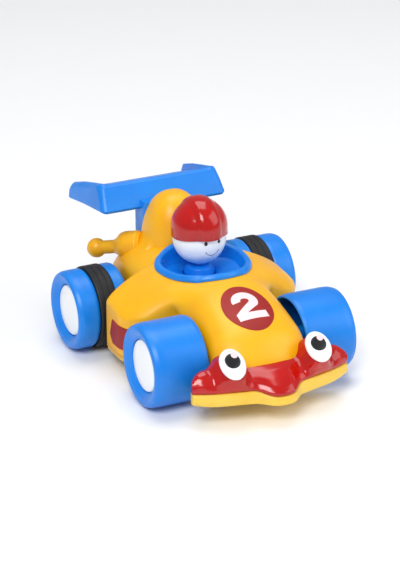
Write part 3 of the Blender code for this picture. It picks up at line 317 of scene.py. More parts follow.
def eased(points, radius, closed=True):
    """Outline with its corners rounded: each corner gets a point radius before and after it, then every
    edge is cut at its quarter points, twice over. points is (..., count, 3); an open line keeps its ends.
    """
    before = np.roll(points, 1, axis=-2) - points
    after = np.roll(points, -1, axis=-2) - points
    if not closed:
        before[..., 0, :] = 0.0
        after[..., -1, :] = 0.0
    cut = []
    for way in (before, after):
        length = np.maximum(np.linalg.norm(way, axis=-1, keepdims=True), 1e-9)
        cut.append(points + way * np.minimum(radius / length, 0.42))
    out = np.stack([cut[0], points, cut[1]], axis=-2)
    out = out.reshape(*points.shape[:-2], -1, points.shape[-1])
    for _ in range(2):
        after = np.roll(out, -1, axis=-2)
        pairs = np.stack([0.75 * out + 0.25 * after, 0.25 * out + 0.75 * after], axis=-2)
        pairs = pairs.reshape(*out.shape[:-2], -1, out.shape[-1])
        if not closed:
            pairs = np.concatenate([out[..., :1, :], pairs[..., :-2, :], out[..., -1:, :]], axis=-2)
        out = pairs
    return out


def grid_faces(rows, columns, wrap_rows, wrap_columns):
    """Quads of a grid of points, joined end to end along a wrapped direction."""
    index = np.arange(rows * columns).reshape(rows, columns)
    if wrap_rows:
        index = np.vstack([index, index[:1]])
    if wrap_columns:
        index = np.hstack([index, index[:, :1]])
    return np.stack([index[:-1, :-1], index[:-1, 1:], index[1:, 1:], index[1:, :-1]], axis=-1), index


def mesh_of(
    name, points, material, wrap_rows=False, wrap_columns=False, poles=(None, None), keep=None, crease=CREASE,
):
    """Mesh over a grid of points in millimetres, with fans to the poles where they are given.

    keep is a mask of the quads that stay. The whole surface is turned outwards: its faces should look
    away from its middle, weighted by area.
    """
    points = np.asarray(points, float)
    rows, columns = points.shape[:2]
    quads, index = grid_faces(rows, columns, wrap_rows, wrap_columns)
    quads = quads[keep] if keep is not None else quads.reshape(-1, 4)
    vertices = points.reshape(-1, 3)
    faces = [tuple(quad) for quad in quads.tolist()]
    for pole, ring, first in ((poles[0], index[0], True), (poles[1], index[-1], False)):
        if pole is None:
            continue
        tip = len(vertices)
        vertices = np.vstack([vertices, pole])
        for a, b in zip(ring[:-1].tolist(), ring[1:].tolist()):
            faces.append((b, a, tip) if first else (a, b, tip))
    data = bpy.data.meshes.new(name)
    data.from_pydata((vertices * MM).tolist(), [], faces)
    outward = np.empty(len(data.polygons) * 3, np.float32)
    centre = np.empty(len(data.polygons) * 3, np.float32)
    area = np.empty(len(data.polygons), np.float32)
    data.polygons.foreach_get("normal", outward)
    data.polygons.foreach_get("center", centre)
    data.polygons.foreach_get("area", area)
    centre = centre.reshape(-1, 3)
    middle = (centre * area[:, None]).sum(0) / area.sum()
    facing = ((centre - middle) * outward.reshape(-1, 3)).sum(1) * area
    if facing.sum() < 0:
        data.flip_normals()
    data.shade_smooth()
    data.set_sharp_from_angle(angle=math.radians(crease))
    data.materials.append(material)
    made = bpy.data.objects.new(name, data)
    bpy.context.scene.collection.objects.link(made)
    return made


def end_middles(rings):
    """Middles of the first and last ring, where the fans that close them meet."""
    return rings[0].mean(axis=0), rings[-1].mean(axis=0)


def seat(made, body, slot, *nodes):
    """A finished piece rides on its body and stands for its CAD nodes, which it hides; slot is not used."""
    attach(made, body)
    if nodes:
        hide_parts(*nodes)


def turned(name, profile, centre, axis, material, steps=96, radius=0.0, closed=True):
    """A profile of (radius, along) turned about an axis through centre, its corners rounded by radius."""
    profile = np.array([(r, 0.0, a) for r, a in profile])
    if radius > 0.0:
        profile = eased(profile, radius, closed)
    angle = np.linspace(0.0, 2 * math.pi, steps, endpoint=False)
    across = profile[:, None, 0] * np.cos(angle)
    up = profile[:, None, 0] * np.sin(angle)
    along = np.broadcast_to(profile[:, None, 2], across.shape)
    order = {"x": (along, across, up), "z": (across, up, along)}[axis]
    points = np.stack(order, axis=-1) + np.array(centre)
    if closed:
        return mesh_of(name, points, material, wrap_rows=True, wrap_columns=True)
    ends = end_middles(points)
    first = 1 if profile[0, 0] < 1e-6 else 0
    last = len(points) - (1 if profile[-1, 0] < 1e-6 else 0)
    return mesh_of(name, points[first:last], material, wrap_columns=True, poles=ends)


def apply_modifiers(made):
    """Bake the object's modifiers into its mesh."""
    graph = bpy.context.evaluated_depsgraph_get()
    data = bpy.data.meshes.new_from_object(made.evaluated_get(graph))
    made.modifiers.clear()
    made.data = data
    data.shade_smooth()
    data.set_sharp_from_angle(angle=math.radians(CREASE))


def cut_away(made, others):
    """Cut helpers out of a piece by exact booleans, and remove them."""
    for other in others:
        step = made.modifiers.new(other.name, "BOOLEAN")
        step.object = other
        step.operation = "DIFFERENCE"
        step.solver = "EXACT"
    apply_modifiers(made)
    for other in others:
        bpy.data.objects.remove(other)


# ------------------------ body


def section(y, share, width=None):
    """Body skin at stations y: x and z where share runs 0 to 1 from the rim up the side to the crown.

    The first fifth of share is the upright side. The rest is one cubic Bezier from the side's top to
    the crown, whose handles are the shoulder rise and the crown's flat share.
    """
    half = (through(HALF_WIDTH, y) if width is None else width)[:, None]
    side = through(SIDE_TOP, y)[:, None]
    crown = through(CROWN, y)[:, None]
    rise = through(SHOULDER_RISE, y)[:, None]
    flat = through(CROWN_FLAT, y)[:, None]
    t = np.clip((share - 0.2) / 0.8, 0.0, 1.0)[None, :]
    foot = np.clip(share / 0.2, 0.0, 1.0)[None, :]
    w0, w1, w2, w3 = (1 - t) ** 3, 3 * t * (1 - t) ** 2, 3 * t * t * (1 - t), t ** 3
    x = half * (w0 + w1 + flat * w2)
    z = side * w0 + (side + rise * (crown - side)) * w1 + crown * (w2 + w3)
    z = np.where(foot < 1.0, RIM_Z + (side - RIM_Z) * foot, z)
    return x, z


def roof(x, y):
    """Height of the body skin over points of the plan: the Bezier is solved for t by halving."""
    x = np.abs(np.asarray(x, float))
    y = np.broadcast_to(np.asarray(y, float), x.shape)
    half, side, crown = through(HALF_WIDTH, y), through(SIDE_TOP, y), through(CROWN, y)
    rise, flat = through(SHOULDER_RISE, y), through(CROWN_FLAT, y)
    low, high = np.zeros(x.shape), np.ones(x.shape)
    for _ in range(24):
        t = (low + high) / 2.0
        at = half * ((1 - t) ** 3 + 3 * t * (1 - t) ** 2 + flat * 3 * t * t * (1 - t))
        low = np.where(at > x, t, low)
        high = np.where(at > x, high, t)
    w0, w1 = (1 - t) ** 3, 3 * t * (1 - t) ** 2
    return side * w0 + (side + rise * (crown - side)) * w1 + crown * (1 - w0 - w1)


def cockpit_egg(inset, angle):
    """Plan outline of the cockpit: half ellipses of two lengths that meet at its widest line."""
    x = (COCKPIT_HALF_WIDTH - inset) * np.cos(angle)
    length = np.where(np.sin(angle) < 0, COCKPIT_FRONT - inset, COCKPIT_REAR - inset)
    return x, COCKPIT_Y + length * np.sin(angle)


def body_stations():
    """Stations along Y and the half width at each, closer together where the outline turns.

    The pods end in a quarter circle, and a wall that is nearly square to Y leads in to the deck's side.
    """
    ahead = np.concatenate([
        np.linspace(-86.0, -84.0, 8)[:-1], np.linspace(-84.0, -72.0, 26)[:-1],
        np.linspace(-72.0, -26.0, 46)[:-1], np.linspace(-26.0, -8.0, 44)[:-1],
        np.linspace(-8.0, POD_END_Y - POD_FILLET, 22),
    ])
    bend = POD_END_Y - POD_FILLET + POD_FILLET * np.sin(EDGE_TURN)
    wall = np.linspace(0.0, 1.0, 14)[1:]
    after = np.concatenate([np.linspace(DECK_START_Y, 66.0, 50), np.linspace(66.0, 70.0, 12)[1:]])
    width = np.concatenate([
        through(HALF_WIDTH, ahead), POD_HALF - POD_FILLET * (1 - np.cos(EDGE_TURN)),
        POD_HALF - POD_FILLET + (DECK_HALF - POD_HALF + POD_FILLET) * wall, through(HALF_WIDTH, after),
    ])
    return np.concatenate([ahead, bend, POD_END_Y + 0.5 * wall, after]), width


def pods_blended(x, y, z, share):
    """Sections where the pods flow into the nose: each is a bell-weighted mean of those near it.

    The bell widens to POD_BLEND along Y, and the mean takes over between the side's top and the crown.
    """
    soft_x, soft_z = np.zeros_like(x), np.zeros_like(z)
    reach = POD_BLEND * smooth_step(y, -46.0, -28.0) * (1 - smooth_step(y, -6.0, 6.0))
    steps = np.linspace(-1.6, 1.6, 17)
    weights = np.exp(-steps ** 2) / np.exp(-steps ** 2).sum()
    for step, weight in zip(steps, weights):
        near_x, near_z = section(np.minimum(y + reach * step, POD_END_Y), share)
        soft_x += weight * near_x
        soft_z += weight * near_z
    upper = smooth_step(share, 0.25, 0.5) * (1.0 - smooth_step(share, 0.72, 0.92))
    soften = upper[None, :] * (reach > 0.0)[:, None]
    return x + (soft_x - x) * soften, z + (soft_z - z) * soften


def ends_turned_in(sheet):
    """The sheet with its end sections turned over an edge and shrunk, and the points they close on."""
    caps, feet = [], []
    shrink = np.concatenate([1.0 - TAIL_EDGE * (1.0 - np.cos(EDGE_TURN)), np.linspace(0.8, 0.15, 5)])
    swell = np.concatenate([np.sin(EDGE_TURN), np.ones(5)])
    for end, bulge in ((sheet[0], 0.0), (sheet[-1], TAIL_BULGE)):
        foot = np.array([0.0, end[0, 1], RIM_Z])
        ring = foot + (end - foot)[None] * shrink[:, None, None]
        ring[..., 1] += bulge * swell[:, None]
        caps.append(ring)
        feet.append(foot + (0.0, bulge, 0.0))
    return np.concatenate([caps[0][::-1], sheet, caps[1]]), feet


def over_cockpit(sheet):
    """Mask of the sheet's quads whose middle lies in the cockpit's way, COCKPIT_LIP inside its outline."""
    middle = (sheet[:-1, :-1] + sheet[1:, :-1] + sheet[:-1, 1:] + sheet[1:, 1:]) / 4.0
    x, y, z = middle[..., 0], middle[..., 1], middle[..., 2]
    length = np.where(y < COCKPIT_Y, COCKPIT_FRONT - COCKPIT_LIP, COCKPIT_REAR - COCKPIT_LIP)
    inside = (x / (COCKPIT_HALF_WIDTH - COCKPIT_LIP)) ** 2 + ((y - COCKPIT_Y) / length) ** 2 < 1.0
    return inside & (z > COCKPIT_LOW_Z)


def make_body():
    """Body moulding: the skin's sections laid along Y, with a rounded pod end, closed nose and tail.

    It is an open sheet given its wall by Solidify, and the cockpit is left out of it.
    """
    y, width = body_stations()
    share = np.concatenate([np.linspace(0.0, 0.2, 9)[:-1], 0.2 + 0.8 * np.linspace(0.0, 1.0, 44)])
    x, z = section(y, share, width=width)
    x, z = pods_blended(x, y, z, share)
    sheet = np.stack([x, np.broadcast_to(y[:, None], x.shape), z], axis=-1)
    sheet = np.concatenate([sheet, (sheet * (-1.0, 1.0, 1.0))[:, -2::-1]], axis=1)
    sheet, feet = ends_turned_in(sheet)
    body = mesh_of("body_moulding", sheet, YELLOW_ABS, poles=feet, keep=~over_cockpit(sheet))
    thick = body.modifiers.new("wall", "SOLIDIFY")
    thick.thickness = WALL * MM
    thick.offset = -1.0
    thick.use_even_offset = False
    seat(body, "body", "yellow_abs", "body_shell")


def make_headrest():
    """Headrest: superelliptic dome |x/a|^n + |y/b|^n + (z/c)^n = 1, flowing into the deck.

    Each column of points runs from the top down the dome to a fillet height above the deck, then along
    a quadratic Bezier that ends tangent to the deck. At the cockpit the dome runs straight down instead.
    """
    power = 2.0 / HUMP_POWER
    a, b, c = HUMP_SIZE
    angle = np.linspace(0.0, 2 * math.pi, 120, endpoint=False)
    way = np.stack([a * np.sign(np.cos(angle)) * np.abs(np.cos(angle)) ** power,
                    b * np.sign(np.sin(angle)) * np.abs(np.sin(angle)) ** power], axis=-1)
    lift = np.linspace(0.0, math.pi / 2, 400)
    spread = np.cos(lift)[:, None] ** power
    height = HUMP_BASE_Z + c * np.sin(lift)[:, None] ** power
    over = height - roof(spread * way[:, 0], spread * way[:, 1] + HUMP_Y)
    front = smooth_step(-np.sin(angle), 0.25, 0.55)
    fillet = 8.5 * (1 - front) + 0.4 * front
    start = np.array([lift[np.argmax(over[:, j] > fillet[j])] for j in range(len(angle))])
    cross = np.array([lift[np.argmax(over[:, j] > 0.0)] for j in range(len(angle))])
    rows = []
    for t in np.linspace(0.02, 1.0, 40):
        at = math.pi / 2 + (start - math.pi / 2) * t
        rows.append(np.column_stack([
            np.cos(at) ** power * way[:, 0], np.cos(at) ** power * way[:, 1] + HUMP_Y,
            HUMP_BASE_Z + c * np.sin(at) ** power,
        ]))
    first = rows[-1]
    corner_x = np.cos(cross) ** power * way[:, 0]
    corner_y = np.cos(cross) ** power * way[:, 1] + HUMP_Y
    corner = np.column_stack([corner_x, corner_y, roof(corner_x, corner_y)])
    out = way / np.linalg.norm(way, axis=1, keepdims=True)
    last_x = corner_x + out[:, 0] * fillet
    last_y = corner_y + out[:, 1] * fillet
    last = np.column_stack([last_x, last_y, roof(last_x, last_y) + 0.02])
    down = np.column_stack([corner_x, corner_y, corner[:, 2] - 9.0])
    last = last * (1 - front[:, None]) + down * front[:, None]
    for t in np.linspace(0.0, 1.0, 14)[1:]:
        rows.append((1 - t) ** 2 * first + 2 * t * (1 - t) * corner + t * t * last)
    top = np.array([0.0, HUMP_Y, HUMP_BASE_Z + c])
    dome = mesh_of("headrest_dome", rows, YELLOW_ABS, wrap_columns=True, poles=(top, None))
    seat(dome, "body", "yellow_abs", "body_shell")


# ------------------------ floor, lip and bumper


def lip_front(x):
    """Front edge in plan: swept back, with a rounded centre bulge."""
    reach = np.abs(x)
    return -98.2 + 6.2 * (reach / 32.0) ** 1.3 - 6.1 * np.exp(-((reach / 10.5) ** 4))


def border_height(x):
    """Height of the line between lip and bumper: lower at the centre bulge."""
    return 20.3 - 2.6 * np.exp(-((np.abs(x) / 11.5) ** 4))


def bumper_plan(x):
    """Front and rear edge of the bumper at x, and how far each end has closed, along an ellipse."""
    reach = np.abs(x) / BUMPER_HALF
    edges = []
    for straight, begin in ((lip_front(x), 0.73), (BUMPER_REAR, 0.70)):
        edge = np.clip((reach - begin) / (1.0 - begin), 0.0, 1.0)
        close = BUMPER_CLOSE * (1.0 - np.sqrt(np.maximum(1.0 - edge * edge, 0.0)))
        edges.append(straight + (BUMPER_TIP_Y - straight) * close)
    return edges[0], edges[1], close


def bumper_stations(count):
    """Stations across the bumper, closer together near its ends."""
    last = math.pi / 2 * 0.985
    u = np.linspace(-1.0, 1.0, count)
    return BUMPER_HALF * np.sin(u * last) / math.sin(last)


def lofted(corners, x, radius):
    """Rings across X: corners is a list of (y, z) arrays over the stations, joined in a ring, and eased."""
    rings = np.stack([np.stack([x, y, z], axis=-1) for y, z in corners], axis=1)
    return eased(rings, radius)


def eye_frame(side):
    """Centre, outward, rise and across directions of an eye, leaning back by EYE_LEAN."""
    centre = np.array([side * EYE_CENTRE[0], EYE_CENTRE[1], EYE_CENTRE[2]])
    outward = np.array([0.0, -math.cos(EYE_LEAN), math.sin(EYE_LEAN)])
    rise = np.array([0.0, math.sin(EYE_LEAN), math.cos(EYE_LEAN)])
    return centre, outward, rise, np.array([1.0, 0.0, 0.0])


def make_bumper():
    """Red bumper: a ring of section corners carried along X, higher in two lobes that hold the eyes.

    A raised rim follows each eye's oval, and a soft knob ends each side.
    """
    x = bumper_stations(181)
    front, rear, close = bumper_plan(x)
    foot = border_height(x)
    reach = np.abs(x)
    lobe = np.exp(-((np.abs(reach - LOBE_X) / LOBE_HALF) ** 4))
    boss = np.exp(-((np.abs(reach - BOSS_X) / BOSS_HALF) ** 2.6))
    ridge = RIDGE_Z + LOBE_RISE * lobe + BOSS_RISE * boss
    ridge = ridge - (ridge - foot - 2.0) * close * 0.75
    depth = rear - front
    tall = ridge - foot
    corners = [
        (front + 1.2, foot + 0.1), (front + 1.0 - 1.6 * lobe, foot + 0.18 * tall),
        (front + 0.14 * depth - 5.2 * lobe, foot + 0.42 * tall + 2.6 * lobe),
        (front + 0.30 * depth - 2.2 * lobe, foot + 0.68 * tall + 2.6 * lobe),
        (front + (0.45 - 0.05 * lobe) * depth, foot + 0.88 * tall + 1.4 * lobe),
        (front + (0.62 - 0.12 * lobe) * depth, ridge), (front + 0.80 * depth, foot + 0.93 * tall),
        (front + 0.93 * depth, foot + 0.75 * tall), (rear, foot + 0.45 * tall), (rear, foot + 0.1),
    ]
    rings = lofted(corners, x, 2.2)
    for _, side in SIDES:
        centre, outward, rise, across = eye_frame(side)
        from_eye = rings - centre
        far = np.hypot(from_eye @ across / EYE_RADII[0], from_eye @ rise / EYE_RADII[1])
        height = from_eye @ outward
        above = smooth_step(height, -6.0, -3.0)
        rim = 0.9 * smooth_step(far, 1.0, 1.12) * (1.0 - smooth_step(far, 1.25, 1.42)) * above
        sunk = np.maximum(height + 0.4, 0.0) * (1.0 - smooth_step(far, 1.0, 1.12))
        rings = rings + (rim - sunk)[..., None] * outward
        knob = rings - np.array([side * KNOB[0], KNOB[1], KNOB[2]])
        swell = 0.9 * np.exp(-((np.linalg.norm(knob, axis=-1) / KNOB_RADIUS) ** 3))
        rings = rings + swell[..., None] * np.array([0.0, -0.45, 0.9])
    bumper = mesh_of(
        "bumper_cover_moulding", rings, RED_ABS, wrap_columns=True, poles=end_middles(rings), crease=60.0,
    )
    seat(bumper, "body", "red_abs", "bumper_cover")


def make_lip():
    """Pale lip below the bumper: a ring of section corners carried along X, with an eased lower edge."""
    x = bumper_stations(161)
    front, rear, close = bumper_plan(x)
    top = border_height(x) - 0.15
    low = 11.3 + (np.abs(x) / BUMPER_HALF) ** 2 + 3.6 * close
    depth = rear - front
    corners = [
        (front + 1.6, top), (front + 0.5, top - 0.9), (front + 0.05, top - 4.0), (front + 0.4, low + 1.4),
        (front + 0.16 * depth, low), (front + 0.40 * depth, low - 1.2), (rear, low - 1.2), (rear, top),
    ]
    rings = lofted(corners, x, 1.6)
    lip = mesh_of("bumper_lip", rings, PALE_ABS, wrap_columns=True, poles=end_middles(rings), crease=60.0)
    seat(lip, "body", "pale_yellow_abs", "chassis_plate")


def make_floor():
    """Floor pan: the body's outline in plan, inset, stepped up through eased edges, with screw wells."""
    y = np.concatenate([
        np.linspace(-84.0, -26.0, 40)[:-1], np.linspace(-26.0, POD_END_Y - POD_FILLET, 34)[:-1],
        np.linspace(POD_END_Y - POD_FILLET, POD_END_Y - 0.2, 14), np.linspace(POD_END_Y, 70.0, 40),
    ])
    bend = np.clip((y - POD_END_Y + POD_FILLET) / POD_FILLET, 0.0, 1.0)
    corner = POD_FILLET * (1.0 - np.sqrt(1.0 - bend ** 2))
    half = through(HALF_WIDTH, y)
    half = np.where(y < POD_END_Y, half - corner, np.minimum(half, DECK_HALF)) - 0.6
    right = np.column_stack([half, y])
    left = np.column_stack([-half, y])[::-1]
    outline = np.vstack([right, left])
    middle = outline.mean(axis=0)
    rings = []
    # inset is what a ring loses 60 mm out from the middle
    for inset, lift in ((1.2, 0.0), (0.4, 0.2), (0.0, 0.7), (0.0, FLOOR_TOP_Z - FLOOR_Z)):
        ring = middle + (outline - middle) * (1.0 - inset / 60.0)
        rings.append(np.column_stack([ring, np.full(len(ring), FLOOR_Z + lift)]))
    ends = (np.array([0.0, 0.0, FLOOR_Z]), np.array([0.0, 0.0, FLOOR_TOP_Z]))
    pan = mesh_of("floor_pan", rings, PALE_ABS, wrap_columns=True, poles=ends)
    well = ((0.0, 6.0), (3.4, 6.0), (3.4, 9.7), (1.8, 9.7), (1.8, 12.0), (0.0, 12.0))
    cut_away(pan, [
        turned(f"screw_well_{number}", well, (x, y, 0.0), "z", PALE_ABS, steps=40, closed=False)
        for number, (x, y) in enumerate(SCREW_SPOTS, 1)
    ])
    seat(pan, "body", "pale_yellow_abs", "chassis_plate")


def make_eyes():
    """Each eye is a domed oval of white with a black oval pupil, and on the pupil a small white disc that is
    a painted highlight.
    """
    parts = (
        ("eye", WHITE_ABS, "white_abs", EYE_RADII, -1.2, 2.9, (0.0, 0.0)),
        ("pupil", BLACK_INK, "black_print", (4.5, 4.5), 1.45, 0.45, (0.3, 1.0)),
        # the glint is a painted highlight: a small white disc laid on the pupil, at the same offset on both
        # eyes
        ("glint", WHITE_INK_AND_PAINTED_HIGHLIGHT, "white_abs", (1.9, 1.9), 1.75, 0.35, (-1.6, 4.1)),
    )
    dome = (
        (0.94, -0.3), (1.0, 0.0), (1.0, 0.25), (0.97, 0.45), (0.9, 0.65), (0.75, 0.82), (0.5, 0.94),
        (0.25, 0.99),
    )
    angle = np.linspace(0.0, 2 * math.pi, 64, endpoint=False)
    for label, side in SIDES:
        for kind, material, slot, radii, depth, thickness, shift in parts:
            centre, outward, rise, across = eye_frame(side)
            centre = centre + outward * depth + rise * shift[1] - across * shift[0]
            oval = np.outer(radii[0] * np.cos(angle), across) + np.outer(radii[1] * np.sin(angle), rise)
            rows = [centre + oval * scale + outward * (share * thickness) for scale, share in dome]
            ends = (centre - outward * 0.3 * thickness, centre + outward * thickness)
            name = f"{kind}_{label}_dome"
            made = mesh_of(name, rows, material, wrap_columns=True, poles=ends, crease=70.0)
            nodes = (f"{kind}_{label}",) if kind != "glint" else ()
            seat(made, "body", slot, *nodes)


# ------------------------ cockpit and driver


def round_driver(angle, radius, height):
    """Ring about the driver's upright axis, whose radius and height may change round it."""
    height = np.broadcast_to(height, angle.shape)
    return np.stack([radius * np.cos(angle), radius * np.sin(angle) + DRIVER_Y, height], axis=-1)


def make_tub():
    """Cockpit bowl: rings run from the socket's floor up the bowl, over the rolled rim and back below.

    A ring is either the cockpit's egg, at a lift over the body skin or at a height, or a round one.
    """
    angle = np.linspace(0.0, 2 * math.pi, 144, endpoint=False)

    def egg(inset, lift=None, height=None):
        x, y = cockpit_egg(inset, angle)
        z = roof(x, y) + lift if height is None else np.full(len(angle), height)
        return np.stack([x, y, z], axis=-1)

    def circle(radius, height):
        return round_driver(angle, radius, height)

    rings = np.array([
        circle(2.0, SOCKET_FLOOR), circle(SOCKET_RADIUS, SOCKET_FLOOR), circle(SOCKET_RADIUS, 49.0),
        circle(11.2, 50.0), circle(12.6, 50.6), egg(6.6, height=52.2), egg(5.2, height=55.0),
        egg(4.0, lift=1.5), egg(2.6, lift=2.7), egg(1.1, lift=2.7), egg(0.1, lift=1.5), egg(0.0, lift=0.1),
        egg(3.4, lift=0.1), egg(3.4, lift=-2.0), egg(4.6, height=54.0), egg(7.6, height=50.4),
        circle(SOCKET_RADIUS + 1.6, 48.2), circle(SOCKET_RADIUS + 1.6, SOCKET_FLOOR - 1.6),
        circle(2.0, SOCKET_FLOOR - 1.6),
    ])
    rings = eased(rings.transpose(1, 0, 2), 1.3, closed=False).transpose(1, 0, 2)
    ends = (np.array([0.0, DRIVER_Y, SOCKET_FLOOR]), np.array([0.0, DRIVER_Y, SOCKET_FLOOR - 1.6]))
    tub = mesh_of("cockpit_bowl", rings, BLUE_ABS, wrap_columns=True, poles=ends, crease=60.0)
    seat(tub, "body", "blue_abs", "cockpit_tub")


def on_head(azimuth, elevation, lift):
    """Points on the head, by angle round from the face and angle up, lift above its skin."""
    r = HEAD_RADIUS + lift
    return np.stack([
        r * np.sin(azimuth) * np.cos(elevation), DRIVER_Y - r * np.cos(azimuth) * np.cos(elevation),
        HEAD_Z + r * np.sin(elevation),
    ], axis=-1)


def make_driver():
    """Driver's peg body and round head: profiles of (radius, height) turned about the driver's axis."""
    profile = (
        (0.0, SOCKET_FLOOR + 0.3), (8.2, SOCKET_FLOOR + 0.3), (9.0, SOCKET_FLOOR + 1.2), (9.0, 50.0),
        (8.0, 53.2), (6.0, 54.6), (4.0, 54.8), (4.0, 62.0), (3.4, 62.8), (0.0, 62.8),
    )
    centre = (0.0, DRIVER_Y, 0.0)
    peg = turned("driver_peg", profile, centre, "z", BLUE_ABS, 72, radius=0.7, closed=False)
    seat(peg, "driver", "blue_abs", "driver_body")
    base = math.asin((55.6 - HEAD_Z) / HEAD_RADIUS)
    lift = np.linspace(base, math.pi / 2, 44)
    ball = [(HEAD_RADIUS * math.cos(a), HEAD_Z + HEAD_RADIUS * math.sin(a)) for a in lift[:-1]]
    profile = [(0.0, 63.2), (4.3, 63.2), (4.3, 55.6)] + ball + [(0.0, HEAD_Z + HEAD_RADIUS)]
    head = turned("driver_head_ball", profile, centre, "z", WHITE_ABS, closed=False)
    seat(head, "head", "white_abs", "driver_head")


def make_face():
    """Printed doll's face: two dots and a smile, each a thin film over the head, thickest at its middle."""
    face = math.radians(FACE_TURN)
    aside, above = map(math.radians, FACE_EYE)
    wide, tall = map(math.radians, FACE_EYE_SIZE)
    around = np.linspace(0.0, 2 * math.pi, 32, endpoint=False)
    for label, side in SIDES:
        middle = face + side * aside
        rows = [
            on_head(middle + wide * share * np.cos(around), above + tall * share * np.sin(around), lift)
            for share, lift in ((1.0, 0.01), (0.95, 0.1), (0.7, 0.16), (0.35, 0.18))
        ]
        end = on_head(middle, above, 0.19)
        dot = mesh_of(f"face_eye_{label}", rows, BLACK_INK, wrap_columns=True, poles=(None, end), crease=80.0)
        seat(dot, "head", "black_print")
    # the smile: an arc of the head's own angles, thicker at its two dimples
    t = np.linspace(-1.0, 1.0, 61)
    turn = face + math.radians(SMILE_HALF) * t
    drop = math.radians(SMILE_LOW) + math.radians(SMILE_RISE) * t * t
    thick = math.radians(0.55) + math.radians(1.7) * smooth_step(np.abs(t), 0.84, 1.0)
    rows = [
        on_head(turn, drop + share * thick, lift)
        for share, lift in ((1.0, 0.01), (0.6, 0.12), (-0.6, 0.12), (-1.0, 0.01))
    ]
    smile = mesh_of("face_smile", rows, BLACK_INK, crease=80.0)
    seat(smile, "head", "black_print")


def make_helmet():
    """Helmet: rings climb from a wavy lower edge, up a short skirt and over a sphere, to the top.

    A crest CREST_HEIGHT tall stands along x = 0 from the brow over the top, with a soft edge. The lower
    edge dips in a peak below the crest and again towards the back. Inside is the cavity for the head.
    """
    angle = np.linspace(0.0, 2 * math.pi, 144, endpoint=False)
    ahead = -np.sin(angle)
    low = 72.6 + 2.2 * np.maximum(ahead, 0.0) ** 2 - 4.4 * np.maximum(-ahead, 0.0) ** 1.5
    low = low - 0.7 * np.exp(-((HELMET_RADIUS * np.cos(angle) / 5.0) ** 2)) * (ahead > 0.0)
    centre = HELMET_Z - CREST_HEIGHT
    cavity = HEAD_RADIUS + 0.6
    roof_in = HEAD_Z + cavity

    def ring(radius, z, lift):
        crest = CREST_HEIGHT * np.exp(-((radius * np.cos(angle) / 6.4) ** 6))
        return round_driver(angle, radius + crest * math.cos(lift), z + crest * math.sin(lift))

    rows = []
    for climb in np.sin(np.linspace(0.97, 0.0, 40) * math.pi / 2):
        z = low + (roof_in - low) * climb
        radius = np.sqrt(np.maximum(cavity ** 2 - (z - HEAD_Z) ** 2, 0.01))
        rows.append(round_driver(angle, radius, z))
    rows.append(ring(HELMET_RADIUS - 0.1, low + 0.15, 0.0))
    for share in np.linspace(0.1, 1.0, 10)[:-1]:
        rows.append(ring(HELMET_RADIUS, low + (centre - low) * share, 0.0))
    for lift in np.linspace(0.0, math.pi / 2, 44)[:-1]:
        rows.append(ring(HELMET_RADIUS * math.cos(lift), centre + HELMET_RADIUS * math.sin(lift), lift))
    ends = (np.array([0.0, DRIVER_Y, roof_in]), np.array([0.0, DRIVER_Y, HELMET_Z + HELMET_RADIUS]))
    helmet = mesh_of("driver_helmet_shell", rows, RED_ABS, wrap_columns=True, poles=ends, crease=50.0)
    seat(helmet, "head", "red_abs", "driver_helmet")


# ------------------------ wing and exhausts


def make_wing():
    """Wing: twelve section corners carried along X, raised near each end into a fence.

    Share s runs -1 to 1 across the span. The ends draw in along a quarter circle, and the pocket below
    is cut out. The pylon is a superelliptic column between wing and deck.
    """
    s = np.sin(np.linspace(-1.0, 1.0, 141) * math.pi / 2)
    share = np.abs(s)
    fence = smooth_step(share, 0.84, 0.89)
    tip = np.clip((share - 0.90) / 0.10, 0.0, 1.0)
    draw = (1.0 - np.sqrt(np.maximum(1.0 - tip * tip, 0.0))) * WING_TIP_DRAW
    level = 0.0 * s
    corners = (
        (52.6 + draw, 73.9 + draw * 0.4), (51.5 + draw, 75.6 + level), (55.8 + draw, 82.0 + level),
        (60.2 + draw, 87.4 - draw * 0.3), (62.6 + draw, 88.3 + 0.6 * fence - draw * 0.5),
        (76.0 + level, 83.2 + 2.2 * fence - draw * 0.7), (90.0 + level, 77.6 + 3.8 * fence - draw * 0.8),
        (102.4 - draw, 72.6 + 4.4 * fence - draw * 0.9), (104.3 - draw, 71.2 + 3.6 * fence - draw * 0.8),
        (104.1 - draw, 68.0 + draw * 0.4), (102.4 - draw, 67.2 + draw * 0.5),
        (80.0 + level, 70.6 + draw * 0.5),
    )
    # the ends lean inwards with height
    rings = eased(np.stack([
        np.stack([s * (WING_HALF - 0.16 * (z - 75.0)), y, z], axis=-1) for y, z in corners
    ], axis=1), 0.9)
    wing = mesh_of("rear_wing_blade", rings, BLUE_ABS, wrap_columns=True, poles=end_middles(rings))
    outline = ((56.5, 64.0), (56.5, 78.5), (62.8, 85.6), (101.5, 70.4), (101.5, 64.0))
    pocket = np.array([[(x, y, z) for y, z in outline] for x in (-POCKET_HALF, POCKET_HALF)])
    cut_away(wing, [mesh_of("wing_pocket", pocket, BLUE_ABS, wrap_columns=True, poles=end_middles(pocket))])
    seat(wing, "body", "blue_abs", "rear_wing")
    angle = np.linspace(0.0, 2 * math.pi, 96, endpoint=False)
    x = PYLON_HALVES[0] * np.sign(np.cos(angle)) * np.abs(np.cos(angle)) ** 0.3
    y = PYLON_Y + PYLON_HALVES[1] * np.sign(np.sin(angle)) * np.abs(np.sin(angle)) ** 0.3
    rows = [np.column_stack([x, y, np.full(len(x), z)]) for z in np.linspace(*PYLON_Z, 24)]
    ends = [np.array([0.0, PYLON_Y, z]) for z in PYLON_Z]
    pylon = mesh_of("rear_wing_pylon", rows, BLUE_ABS, wrap_columns=True, poles=ends)
    seat(pylon, "body", "blue_abs", "rear_wing")


